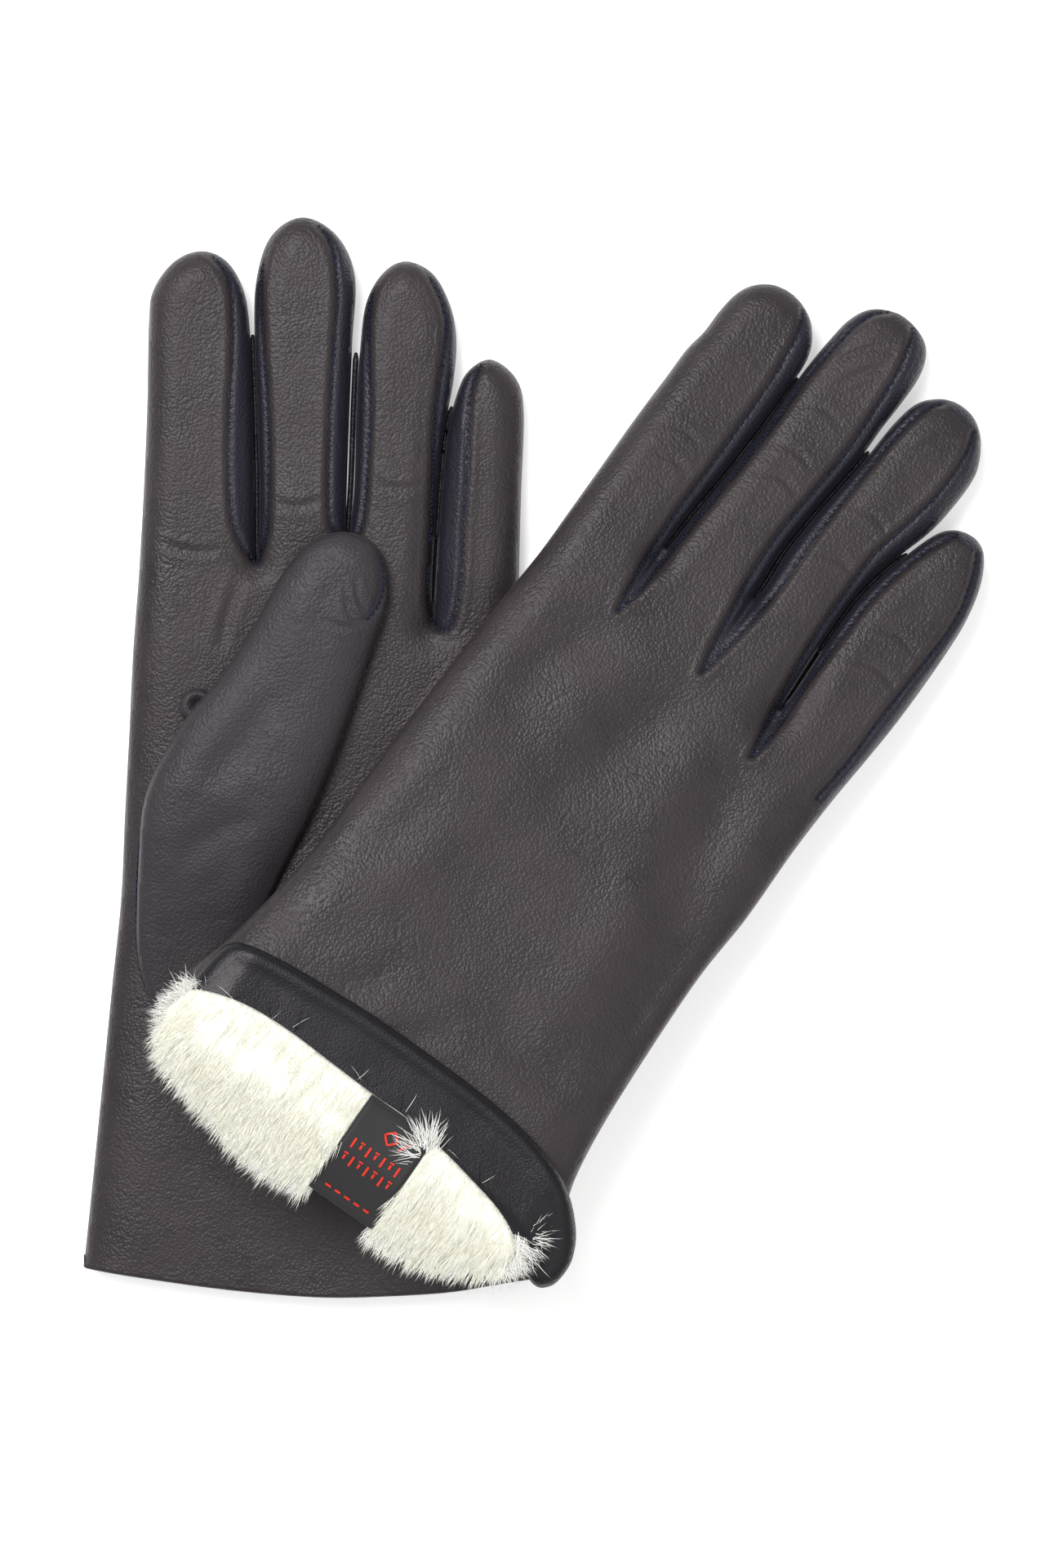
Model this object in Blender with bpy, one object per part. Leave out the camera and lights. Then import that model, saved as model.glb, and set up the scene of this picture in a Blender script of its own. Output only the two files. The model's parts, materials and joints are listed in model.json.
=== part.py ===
"""A pair of fur-lined leather gloves lying one across the other.

Each glove is drawn flat in its own frame, in millimetres: u runs across the hand from the index
finger to the little finger, y runs from the cuff edge to the middle fingertip, and z is up.
The left glove lies palm up with its thumb folded over the palm. The right glove lies back up
across it, with its thumb tucked under its palm and its cuff turned back over the back of the hand.
"""

import math

import bmesh
import bpy
from mathutils import Matrix, Vector

MM = 0.001

# Walls and clearances
LEATHER = 1.0
FOURCHETTE = 0.8
FACING = 0.8
LINING = 1.2
GAP = 0.3
HALF_CREASE = 0.2

# The hand
HAND_DEPTH = 11.0
CUFF_LEFT = -51.2
CUFF_RIGHT = 60.9
CUFF_RISE = 6.0
HEM_DEPTH = 22.0
LEFT_SIDE = [(-46.4, 54.0), (-42.5, 92.5), (-40.6, 131.0)]
RIGHT_SIDE = [(50.4, 60.0), (50.4, 120.0)]

# Fingers, from the index: name, base left, base width, crease height, reach past the crease,
# fingertip centre and radius
FINGERS = [
    ("index", -37.9, 26.0, 173.0, 70.5, -23.9, 11.2),
    ("middle", -10.6, 20.8, 180.0, 72.0, 0.0, 11.3),
    ("ring", 12.0, 21.4, 180.0, 61.5, 24.4, 10.9),
    ("little", 34.9, 15.7, 170.0, 48.4, 44.2, 8.0),
]
CROTCHES = {"index": 170.5, "middle": 176.0, "ring": 157.0}
TIP_STEPS = 6
STRAIGHT = 0.05

# The thumb, its crease and the hole in the palm that it is sewn into
THUMB_DEPTH = 8.0
THUMB_GAP = 0.4
THUMB_CREASE = 118.0
THUMB_CREASE_SHARE = 0.2  # of the leather: the slanting walls reach over the crease as they thicken
THUMB_BASE = [(-33.3, 65.0), (-22.0, 70.5), (-11.9, 83.0), (-4.2, 96.0), (2.5, 110.0), (13.0, 140.0)]
THUMB_BACK = [(-15.7, 150.0), (-30.5, 130.5), (-36.8, 112.0), (-38.5, 97.0), (-37.7, 83.0)]
THUMB_TIP = (9.0, 166.0)
THUMB_TIP_RADIUS = 10.8
THUMB_TIP_ARC = (-15.0, 145.0)
THUMB_HOLE = (-20.0, 92.0)
THUMB_HOLE_RADII = (9.0, 15.0)
HOLE_STEPS = 20
QUIRK = (-27.6, 138.5)
QUIRK_SIZE = (3.4, 8.0, 2.4)

# The tucked thumb of the right glove, turned and gathered about its root
TUCK_ROOT = (-30.0, 70.0)
TUCK_TURN = -30.0
TUCK_GATHER = 0.8
TUCKED_DEPTH = 6.0

# The turned-back cuff of the right glove: heights past the fold, and how far the fur hangs below it
FOLD_LINE = 27.2
FLAP_EDGE = [
    (60.0, 0.4), (58.4, 5.1), (52.1, 10.7), (43.9, 14.8), (33.3, 17.3), (7.5, 18.5), (-19.0, 18.0), (-41.1, 15.1),
    (-44.6, 13.1),
]
FACING_SEAM = 3.8
FACING_INSET = 1.2
FUR_LEFT = -44.5
FUR_RIGHT = 50.0
FUR_DROOP = 18.2
FUR_CORNER = 9.0
FUR_DEPTH = 3.5
LABEL_WIDTH = 17.6
LABEL_LENGTH = 25.2
LABEL_LEFT = 2.0
LABEL_TOP = 3.6
LABEL_DEPTH = 0.5
PALM_FLAP_EDGE = 18.5
PALM_FLAP_INSET = 4.0

# Where the gloves lie
FINGERTIP_Y = 252.0
LEFT_GLOVE_X = -53.65
LEFT_GLOVE_Y = -125.9
RIGHT_TIP = (85.8, 102.7)
RIGHT_TURN = -34.8
LEAN_CLEARANCE = 0.6
EDGE_REACH = 99.0
THUMB_REACH = 176.0
TUCK_REACH = 136.0

COLOURS = {
    "leather": ((0.035, 0.032, 0.036, 1.0), 0.42),
    "fourchette": ((0.022, 0.024, 0.045, 1.0), 0.45),
    "facing": ((0.012, 0.014, 0.026, 1.0), 0.38),
    "fur": ((0.88, 0.87, 0.78, 1.0), 0.95),
    "label": ((0.012, 0.011, 0.012, 1.0), 0.7),
}


def clear_scene():
    for obj in list(bpy.data.objects):
        bpy.data.objects.remove(obj, do_unlink=True)


def material(name):
    """The Principled material of this name, made on first use."""
    found = bpy.data.materials.get(name)
    if found:
        return found
    colour, roughness = COLOURS[name]
    made = bpy.data.materials.new(name)
    made.use_nodes = True
    shader = made.node_tree.nodes["Principled BSDF"]
    shader.inputs["Base Color"].default_value = colour
    shader.inputs["Roughness"].default_value = roughness
    shader.inputs["Metallic"].default_value = 0.0
    made.diffuse_color = colour
    return made


# Outlines are counter-clockwise lists of (u, y, seam); seam names the edge that starts there.


def hand_outline():
    points = []
    steps = 8
    for i in range(steps + 1):
        u = CUFF_LEFT + (CUFF_RIGHT - CUFF_LEFT) * i / steps
        y = CUFF_RISE * (u / CUFF_RIGHT) ** 2
        points.append((u, y, "cuff"))
    points[-1] = (*points[-1][:2], "side_seam")
    points += [(u, y, "side_seam") for u, y in RIGHT_SIDE]
    for name, left, width, crease, _, _, _ in reversed(FINGERS):
        y = crease - HALF_CREASE
        right = left + width
        if name in CROTCHES:
            points.append((right, CROTCHES[name], "crotch"))
        points.append((right, y, "opening"))
        points.append((left, y, "crotch"))
        below = [n for n, neighbour in zip(CROTCHES, list(CROTCHES)[1:] + ["little"]) if neighbour == name]
        if below:
            points.append((left, CROTCHES[below[0]], "crotch"))
    points[-1] = (*points[-1][:2], "fold")
    points += [(u, y, "fold") for u, y in reversed(LEFT_SIDE)]
    return points


def finger_outline(left, width, crease, reach, tip_u, radius):
    """Straight sides into a round tip; the base edge is open."""
    y = crease + HALF_CREASE
    tip_y = crease + reach - radius
    points = [(left, y, "opening"), (left + width, y, "right")]
    half_gap = GAP / radius
    angles = [math.pi / 2 * i / TIP_STEPS for i in range(TIP_STEPS)] + [math.pi / 2 - half_gap]
    for angle in angles:
        points.append((tip_u + radius * math.cos(angle), tip_y + radius * math.sin(angle), "right"))
    points[-1] = (*points[-1][:2], "tip")
    for angle in reversed(angles):
        points.append((tip_u - radius * math.cos(angle), tip_y + radius * math.sin(angle), "left"))
    return points


def thumb_outline():
    points = [(u, y, "right") for u, y in THUMB_BASE]
    start, end = THUMB_TIP_ARC
    for i in range(2 * TIP_STEPS + 1):
        angle = math.radians(start + (end - start) * i / (2 * TIP_STEPS))
        u = THUMB_TIP[0] + THUMB_TIP_RADIUS * math.cos(angle)
        y = THUMB_TIP[1] + THUMB_TIP_RADIUS * math.sin(angle)
        points.append((u, y, "right" if i < TIP_STEPS else "left"))
    points += [(u, y, "left") for u, y in THUMB_BACK]
    return points


def clip(outline, level, above, seam):
    """The part of an outline above or below y = level; the new edge gets the seam name."""
    kept = []
    side = 1.0 if above else -1.0
    for (u0, y0, tag), (u1, y1, _) in zip(outline, outline[1:] + outline[:1]):
        inside = (y0 - level) * side >= 0
        ends_inside = (y1 - level) * side >= 0
        if inside:
            kept.append((u0, y0, tag))
        if inside != ends_inside:
            share = (level - y0) / (y1 - y0)
            kept.append((u0 + (u1 - u0) * share, level, seam if inside else tag))
    return kept


def inset(outline, distance, open_seams=(), end_gap=0.0):
    """Every edge moved inward by the distance, or by the end gap where it is open, corners mitred."""
    moved = []
    for before, here, after in zip(outline[-1:] + outline[:-1], outline, outline[1:] + outline[:1]):
        u0, y0, seam0 = before
        u1, y1, seam1 = here
        u2, y2, _ = after
        first = Vector((y0 - y1, u1 - u0)).normalized()
        second = Vector((y1 - y2, u2 - u1)).normalized()
        shift0 = end_gap if seam0 in open_seams else distance
        shift1 = end_gap if seam1 in open_seams else distance
        turn = first.cross(second)
        if abs(turn) < STRAIGHT:
            step = second * (shift0 + shift1) / 2
        else:
            step = Vector((shift0 * second.y - shift1 * first.y, shift1 * first.x - shift0 * second.x)) / turn
        moved.append((u1 + step.x, y1 + step.y, seam1))
    return moved


def gathered(point):
    """Where a point of the thumb lies once it is tucked under the palm."""
    offset = Vector((point[0] - TUCK_ROOT[0], point[1] - TUCK_ROOT[1])) * TUCK_GATHER
    offset.rotate(Matrix.Rotation(math.radians(TUCK_TURN), 2))
    return (TUCK_ROOT[0] + offset.x, TUCK_ROOT[1] + offset.y, *point[2:])


def hole_outline(centre, radii):
    points = []
    for i in range(HOLE_STEPS):
        angle = 2 * math.pi * i / HOLE_STEPS
        points.append((centre[0] + radii[0] * math.cos(angle), centre[1] + radii[1] * math.sin(angle)))
    return points


# Shells: a face at the top or the bottom of an outline, walls along some seams, one thickness inward.


def flat_face(bm, ring, hole, z, up):
    """Fills a ring of vertices, around a hole if there is one, facing up or down."""
    if not hole:
        bm.faces.new(ring if up else ring[::-1])
        return
    rim = [bm.verts.new((u * MM, y * MM, z * MM)) for u, y in hole]
    edges = []
    for loop in (ring, rim):
        for a, b in zip(loop, loop[1:] + loop[:1]):
            edges.append(bm.edges.get((a, b)) or bm.edges.new((a, b)))
    normal = (0, 0, 1 if up else -1)
    made = bmesh.ops.triangle_fill(bm, edges=edges, use_beauty=True, normal=normal)
    faces = [f for f in made["geom"] if isinstance(f, bmesh.types.BMFace)]
    for face in faces:
        if (face.normal.z > 0) != up:
            face.normal_flip()


def shell(body, name, outline, low, high, thickness, finish, top=False, bottom=False, walls=(), hole=None):
    """One piece of the glove between two heights, thickened inward, and parented to its body's empty."""
    bm = bmesh.new()
    lower = [bm.verts.new((u * MM, y * MM, low * MM)) for u, y, _ in outline]
    upper = [bm.verts.new((u * MM, y * MM, high * MM)) for u, y, _ in outline]
    if top:
        flat_face(bm, upper, hole if top != "plain" else None, high, True)
    if bottom:
        flat_face(bm, lower, hole if bottom != "plain" else None, low, False)
    count = len(outline)
    for i in range(count):
        j = (i + 1) % count
        if outline[i][2] in walls:
            bm.faces.new((lower[i], lower[j], upper[j], upper[i]))
    bmesh.ops.delete(bm, geom=[v for v in bm.verts if not v.link_faces], context="VERTS")
    bmesh.ops.translate(bm, verts=bm.verts, vec=-Vector(body["pivot"]) * MM)
    mesh = bpy.data.meshes.new(name)
    bm.normal_update()
    bm.to_mesh(mesh)
    bm.free()
    obj = bpy.data.objects.new(name, mesh)
    bpy.context.scene.collection.objects.link(obj)
    obj.parent = body["empty"]
    mesh.materials.append(material(finish))
    wall = obj.modifiers.new("wall", "SOLIDIFY")
    wall.thickness = thickness * MM
    wall.offset = -1.0
    wall.solidify_mode = "NON_MANIFOLD"
    wall.nonmanifold_thickness_mode = "CONSTRAINTS"
    return obj


def plate(body, name, outline, low, high, finish, hole=None):
    return shell(body, name, outline, low, high, high - low, finish, top=True, hole=hole)


def empty(name, parent, place):
    obj = bpy.data.objects.new(name, None)
    bpy.context.scene.collection.objects.link(obj)
    obj.parent = parent
    obj.location = Vector(place) * MM
    return obj


def body_at(glove, name, pivot):
    """A rigid body: its empty stands on the joint's axis."""
    return {"empty": empty(name, glove, pivot), "pivot": pivot}


def panels(body, names, outline, low, high, palm_up, palm_walls, back_walls, palm_hole=None):
    """The palm and back leathers of one stall or of the hand, each with the walls that it carries."""
    spans = {True: (low + LEATHER + GAP, high), False: (low, high - LEATHER - GAP)}
    for name, faces_up, walls, hole in (
        (names[0], palm_up, palm_walls, palm_hole),
        (names[1], not palm_up, back_walls, None),
    ):
        bottom, top = spans[faces_up]
        shell(
            body, name, outline, bottom, top, LEATHER, "leather",
            top=faces_up, bottom=not faces_up, walls=walls, hole=hole,
        )


def lining(body, name, outline, low, high, open_seams, hole=None, palm_up=True):
    inner = inset(outline, LEATHER + GAP, open_seams, GAP)
    walls = {tag for _, _, tag in outline} - set(open_seams)
    holed_top = hole is not None and palm_up
    holed_bottom = hole is not None and not palm_up
    shell(
        body, name, inner, low + LEATHER + GAP, high - LEATHER - GAP, LINING, "fur",
        top=True if holed_top else "plain", bottom=True if holed_bottom else "plain", walls=walls, hole=hole,
    )


def finger(glove, side, spec, palm_up):
    """One finger stall: two leathers, its fourchettes and its lining, hinged at its crease."""
    name, left, width, crease, reach, tip_u, radius = spec
    body = body_at(glove, f"{side}_{name}", (tip_u, crease, HAND_DEPTH))
    outline = finger_outline(left, width, crease, reach, tip_u, radius)
    names = (f"{side}_{name}_palm", f"{side}_{name}_back")
    fold = {"left"} if name == "index" else set()
    seam = {"right"} if name == "little" else set()
    panels(body, names, outline, 0.0, HAND_DEPTH, palm_up, fold, seam)
    for wall, place in (("left", "inner"), ("right", "outer")):
        if wall in fold | seam:
            continue
        shell(
            body, f"{side}_{name}_{place}_fourchette", outline, LEATHER + GAP, HAND_DEPTH - LEATHER - GAP,
            FOURCHETTE, "fourchette", walls={wall},
        )
    lining(body, f"{side}_{name}_lining", outline, 0.0, HAND_DEPTH, {"opening"})


def hand(body, side, palm_up, outline, hole):
    """The palm with its thumb hole, the back, and the fur lining between them."""
    names = (f"{side}_hand_palm", f"{side}_hand_back")
    panels(body, names, outline, 0.0, HAND_DEPTH, palm_up, {"fold", "crotch"}, {"side_seam"}, hole)


def thumb(base, tip, side, palm_up, outlines, depth):
    """The set-in thumb: a base sewn over the palm's hole, then a stall past the crease."""
    low = HAND_DEPTH + THUMB_GAP if palm_up else -THUMB_GAP - depth
    high = low + depth
    lower, upper = outlines
    shell(
        base, f"{side}_thumb_base", lower, low, high, LEATHER, "leather",
        top=palm_up, bottom=not palm_up, walls={"left", "right"},
    )
    names = (f"{side}_thumb_inner", f"{side}_thumb_outer")
    panels(tip, names, upper, low, high, not palm_up, set(), {"left", "right"})
    lining(tip, f"{side}_thumb_lining", upper, low, high, {"opening"})


def quirk_outline():
    across, along, _ = QUIRK_SIZE
    u, y = QUIRK
    corners = [(-across / 2, 0.0), (0.0, -along / 2), (across / 2, 0.0), (0.0, along / 2)]
    return [(u + du, y + dy, "edge") for du, dy in corners]


def quirk(body, side, palm_up, outline):
    """The small gusset where thumb and palm meet."""
    tall = QUIRK_SIZE[2]
    low = HAND_DEPTH + GAP if palm_up else -GAP - tall
    plate(body, f"{side}_quirk", outline, low, low + tall, "leather")


def left_glove(glove):
    palm = body_at(glove, "left_hand", (0.0, 0.0, 0.0))
    outline = hand_outline()
    hole = hole_outline(THUMB_HOLE, THUMB_HOLE_RADII)
    hand(palm, "left", True, outline, hole)
    tube = clip(outline, HEM_DEPTH + GAP, True, "cuff")
    lining(palm, "left_hand_lining", tube, 0.0, HAND_DEPTH, {"cuff", "opening"}, hole, True)
    hem = inset(clip(outline, HEM_DEPTH, False, "opening"), LEATHER + GAP, {"cuff", "opening"}, GAP)
    shell(
        palm, "left_hem_facing", hem, LEATHER + GAP, HAND_DEPTH - LEATHER - GAP, FACING, "facing",
        top=True, bottom=True, walls={"side_seam", "fold"},
    )
    whole = thumb_outline()
    half = THUMB_CREASE_SHARE * LEATHER
    lower = clip(whole, THUMB_CREASE - half, False, "opening")
    upper = clip(whole, THUMB_CREASE + half, True, "opening")
    tip = body_at(glove, "left_thumb", (-14.0, THUMB_CREASE, HAND_DEPTH + THUMB_GAP + THUMB_DEPTH))
    thumb(palm, tip, "left", True, (lower, upper), THUMB_DEPTH)
    quirk(palm, "left", True, quirk_outline())
    for spec in FINGERS:
        finger(glove, "left", spec, True)


def right_glove(glove):
    palm = body_at(glove, "right_hand", (0.0, 0.0, 0.0))
    outline = clip(hand_outline(), FOLD_LINE, True, "cuff")
    hole = [gathered(p)[:2] for p in hole_outline(THUMB_HOLE, THUMB_HOLE_RADII)]
    hand(palm, "right", False, outline, hole)
    lining(palm, "right_hand_lining", outline, 0.0, HAND_DEPTH, {"cuff", "opening"}, hole, False)
    whole = thumb_outline()
    half = THUMB_CREASE_SHARE * LEATHER
    lower = [gathered(p) for p in clip(whole, THUMB_CREASE - half, False, "opening")]
    upper = [gathered(p) for p in clip(whole, THUMB_CREASE + half, True, "opening")]
    thumb(palm, palm, "right", False, (lower, upper), TUCKED_DEPTH)
    quirk(palm, "right", False, [gathered(p) for p in quirk_outline()])
    for spec in FINGERS:
        finger(glove, "right", spec, False)
    turned_cuff(glove)
    palm_flap(palm, outline)


def flap_outline():
    points = [(CUFF_LEFT + 3.0, FOLD_LINE + HALF_CREASE, "fold")]
    points += [(u, FOLD_LINE + rise, "edge") for u, rise in FLAP_EDGE]
    return points


def turned_cuff(glove):
    """The turned-back cuff on the back of the hand: leather, hem facing, fur and label."""
    hinge = HAND_DEPTH + HALF_CREASE
    body = body_at(glove, "right_cuff", (0.0, FOLD_LINE, hinge))
    leather_low = HAND_DEPTH + 2 * HALF_CREASE
    leather_high = leather_low + LEATHER
    flap = flap_outline()
    plate(body, "right_cuff_flap", flap, leather_low, leather_high, "leather")
    laid_low = leather_high + GAP
    seam = FOLD_LINE + FACING_SEAM
    band = clip(inset(flap, FACING_INSET), seam, True, "seam")
    plate(body, "right_cuff_facing", band, laid_low, laid_low + FACING, "facing")
    top = seam - GAP
    bottom = FOLD_LINE - FUR_DROOP
    fur = [
        (FUR_LEFT, bottom + FUR_CORNER, "edge"),
        (FUR_LEFT + FUR_CORNER, bottom, "edge"),
        (FUR_RIGHT - FUR_CORNER, bottom, "edge"),
        (FUR_RIGHT, bottom + FUR_CORNER, "edge"),
        (FUR_RIGHT, top - FUR_CORNER / 3, "edge"),
        (FUR_RIGHT - FUR_CORNER / 3, top, "edge"),
        (FUR_LEFT, top, "edge"),
    ]
    plate(body, "right_cuff_fur", fur, laid_low, laid_low + FUR_DEPTH, "fur")
    label_low = laid_low + FUR_DEPTH + GAP
    label_top = FOLD_LINE + LABEL_TOP
    label = [
        (LABEL_LEFT, label_top - LABEL_LENGTH, "edge"),
        (LABEL_LEFT + LABEL_WIDTH, label_top - LABEL_LENGTH, "edge"),
        (LABEL_LEFT + LABEL_WIDTH, label_top, "edge"),
        (LABEL_LEFT, label_top, "edge"),
    ]
    plate(body, "right_size_label", label, label_low, label_low + LABEL_DEPTH, "label")


def palm_flap(body, outline):
    """The turned-back cuff under the palm, pressed flat by the hand."""
    turned = clip(clip(outline, FOLD_LINE, True, "fold"), FOLD_LINE + PALM_FLAP_EDGE, False, "edge")
    turned = inset(turned, GAP)
    plate(body, "right_palm_flap", turned, -GAP - LEATHER, -GAP, "leather")
    band = clip(inset(turned, PALM_FLAP_INSET), FOLD_LINE + FACING_SEAM, True, "seam")
    low = -2 * GAP - LEATHER - FACING
    plate(body, "right_palm_facing", band, low, low + FACING, "facing")


def lean_angle():
    """How far the right glove tips up to lie on the left one, from what it has to clear."""
    under_edge = (HAND_DEPTH + LEAN_CLEARANCE) / EDGE_REACH
    under_thumb = (HAND_DEPTH + THUMB_GAP + THUMB_DEPTH + LEAN_CLEARANCE) / THUMB_REACH
    under_tuck = (HAND_DEPTH + THUMB_GAP + TUCKED_DEPTH + LEAN_CLEARANCE) / TUCK_REACH
    return math.atan(max(under_edge, under_thumb, under_tuck))


def place_gloves(left, right):
    left.location = Vector((LEFT_GLOVE_X, LEFT_GLOVE_Y, 0.0)) * MM
    turn = Matrix.Rotation(math.radians(RIGHT_TURN), 4, "Z")
    lean = Matrix.Rotation(-lean_angle(), 4, "X")
    tip = Matrix.Translation(Vector((*RIGHT_TIP, 0.0)) * MM)
    back = Matrix.Translation(Vector((0.0, -FINGERTIP_Y, 0.0)) * MM)
    right.matrix_local = tip @ turn @ lean @ back


def stand_on_origin(gloves):
    """Moves both gloves so that the origin is the bottom centre of their box."""
    bpy.context.view_layer.update()
    graph = bpy.context.evaluated_depsgraph_get()
    corners = []
    for obj in bpy.data.objects:
        if obj.type == "MESH":
            evaluated = obj.evaluated_get(graph)
            corners += [evaluated.matrix_world @ v.co for v in evaluated.data.vertices]
    low = Vector([min(c[i] for c in corners) for i in range(3)])
    high = Vector([max(c[i] for c in corners) for i in range(3)])
    middle = (low + high) / 2
    for glove in gloves:
        glove.location -= Vector((middle.x, middle.y, low.z))
    bpy.context.view_layer.update()


def main():
    clear_scene()
    left = empty("left_glove", None, (0.0, 0.0, 0.0))
    right = empty("right_glove", None, (0.0, 0.0, 0.0))
    place_gloves(left, right)
    left_glove(left)
    right_glove(right)
    stand_on_origin((left, right))


main()
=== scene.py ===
import json
import math
import random

import bmesh
import bpy
import numpy as np
from mathutils import Matrix, Vector, kdtree, noise


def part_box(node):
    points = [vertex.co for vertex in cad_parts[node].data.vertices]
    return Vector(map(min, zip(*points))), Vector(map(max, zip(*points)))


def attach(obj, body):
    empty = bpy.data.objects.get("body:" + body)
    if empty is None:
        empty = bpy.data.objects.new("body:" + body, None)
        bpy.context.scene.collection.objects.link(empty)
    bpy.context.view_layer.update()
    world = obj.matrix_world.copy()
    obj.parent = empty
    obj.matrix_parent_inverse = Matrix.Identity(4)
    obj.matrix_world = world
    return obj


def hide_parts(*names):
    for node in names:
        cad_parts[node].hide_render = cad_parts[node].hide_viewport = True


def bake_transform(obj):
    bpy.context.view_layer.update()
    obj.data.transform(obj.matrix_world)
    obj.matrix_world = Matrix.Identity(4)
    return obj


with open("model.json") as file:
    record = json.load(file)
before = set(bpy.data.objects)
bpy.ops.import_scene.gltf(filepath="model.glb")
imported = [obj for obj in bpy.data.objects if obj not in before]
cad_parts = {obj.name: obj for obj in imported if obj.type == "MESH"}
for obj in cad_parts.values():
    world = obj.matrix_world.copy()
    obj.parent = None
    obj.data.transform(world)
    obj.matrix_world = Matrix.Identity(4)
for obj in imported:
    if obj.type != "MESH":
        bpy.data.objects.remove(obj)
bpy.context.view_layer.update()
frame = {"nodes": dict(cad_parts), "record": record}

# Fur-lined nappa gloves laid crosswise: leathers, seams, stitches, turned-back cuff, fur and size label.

MM = 0.001
CELL = 0.7
SEED = 7


# ---------------------------------------------------------------- the two glove frames

def joint(name):
    return next(j for j in frame["record"]["behaviour"]["joints"] if j["name"] == name)


HAND_DEPTH = 11.0
FOLD_LINE = 27.2
CUFF_HINGE = 11.2
MIDDLE_CREASE = 180.0
CUFF_LEFT = -51.2


def left_matrix():
    low = Vector(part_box("left_hand_back")[0])
    return Matrix.Translation((low.x - CUFF_LEFT * MM, low.y, 0.0)) @ Matrix.Scale(MM, 4)


def right_matrix():
    """The right glove's frame, from its cuff and middle-finger joints."""
    across = Vector(joint("right_middle_flex")["axis"])
    cuff = Vector(joint("right_cuff_turn")["pos_m"]) / MM
    reach = Vector(joint("right_middle_flex")["pos_m"]) / MM - cuff
    along, drop = MIDDLE_CREASE - FOLD_LINE, HAND_DEPTH - CUFF_HINGE
    square = across.cross(reach)
    y_axis = (reach * along - square * drop) / (along ** 2 + drop ** 2)
    z_axis = (square * along + reach * drop) / (along ** 2 + drop ** 2)
    origin = cuff - y_axis * FOLD_LINE - z_axis * CUFF_HINGE
    turn = Matrix((across, y_axis, z_axis)).transposed().to_4x4()
    return Matrix.Scale(MM, 4) @ Matrix.Translation(origin) @ turn


LEFT = left_matrix()
RIGHT = right_matrix()


# ---------------------------------------------------------------- outlines, millimetres in the glove's frame

LEFT_OUTLINE = [
    (-46.4, 54), (-44.5, 73), (-42.5, 92.5), (-41.6, 112), (-40.6, 131), (-39.7, 150), (-38.3, 169),
    (-37.2, 188),
    (-36.4, 207.5), (-36, 227), (-34.9, 235), (-30, 241.6), (-23.6, 244), (-17.6, 241.4), (-13.6, 234),
    (-12.2, 223),
    (-11.6, 207.5), (-11.4, 190), (-11.2, 178), (-10.9, 171.4), (-10.3, 178), (-10.2, 190), (-10.8, 207.5),
    (-11.3, 223), (-10.9, 237), (-7.4, 247.5), (0, 251.9), (8, 247.6), (12.2, 238), (11.6, 223), (10.9, 206),
    (10.3, 189), (10.2, 181), (10.4, 176.6), (11.3, 181), (12.1, 190), (12.6, 207), (13.4, 221), (14.9, 232),
    (18.9, 239), (24.2, 241.6), (30.3, 238.8), (34.2, 232), (35.9, 224), (35.3, 214), (32.8, 199.7),
    (30.9, 178),
    (30.2, 165), (30.4, 156.8), (30.9, 165), (31.7, 178), (33.6, 199.7), (36.2, 211), (39.2, 216.4),
    (44.3, 218.6), (50, 214),
    (51.7, 206),
    (51.1, 188), (50.6, 169), (50.4, 150), (50.3, 120), (50.2, 95), (50.3, 70), (52.2, 44), (56.4, 22),
]
LEFT_CUFF = [(60.9, 5.4), (47, 3.3), (34, 1.2), (18, 0.2), (5.4, 0), (-9, 0.9), (-23.4, 2.5), (-38, 4.6),
    (-51.2, 6.7)]
LEFT_SIDE_START = [(-49.4, 24), (-48, 38)]
RIGHT_OUTLINE = [
    (-47.4, 34), (-44.6, 44.5), (-41.4, 66), (-40.6, 84), (-40.2, 105), (-38.6, 139), (-37.4, 156),
    (-37.2, 169),
    (-37.1, 182), (-37, 196), (-36.6, 208), (-36.4, 216), (-35.4, 222), (-35.2, 228), (-34.4, 233.4),
    (-32.6, 237.2),
    (-29.4, 240), (-25.6, 241.2), (-21.2, 240.9), (-17, 238.9), (-14.3, 236), (-12.5, 232.6), (-11.7, 228),
    (-11.9, 220), (-12.1, 211), (-12.7, 199), (-13.8, 187), (-14.3, 178), (-14.1, 171.4), (-13.4, 178),
    (-12.8, 187),
    (-11.8, 199), (-11.2, 211), (-11.1, 220), (-11, 228.4), (-10.3, 237), (-9.2, 244), (-6.4, 249),
    (-1, 251.8),
    (4.2, 251.6), (8.6, 249.6), (11, 246), (12, 241), (11.9, 234), (11.5, 227), (11.4, 220), (10.6, 211.8),
    (9.5, 201.6), (8.7, 190.8), (9.1, 181), (9.6, 176.6), (10.2, 181), (9.7, 190.8), (10.5, 201.6),
    (11.7, 211.8),
    (12.5, 220), (13.2, 229.4), (14.8, 236.4), (18.4, 240.6), (22.8, 242.4), (27.7, 241.8), (31.8, 238.7),
    (34.9, 233.4), (35.9, 228.6), (35.6, 221), (34.4, 213), (30.6, 200.6), (28.7, 190), (28.5, 177),
    (28.8, 165),
    (29.3, 157.4), (29.7, 165), (29.4, 177), (29.7, 190), (31.6, 200.6), (35.2, 212.2), (38.4, 216.8),
    (42.9, 218.4),
    (46.7, 217.4), (49.5, 213.9), (51.8, 208.2), (53.2, 200.8), (53.6, 193.6), (53.6, 182.6), (53.2, 171),
    (52.3, 160), (51.2, 148), (50.4, 133), (50.2, 114), (48.9, 94.5), (49.6, 62), (51.4, 43.5), (54.4, 33),
]
RIGHT_CUFF = [(55.4, 28.6), (0.0, 28.6), (-48.4, 28.6)]

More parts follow.
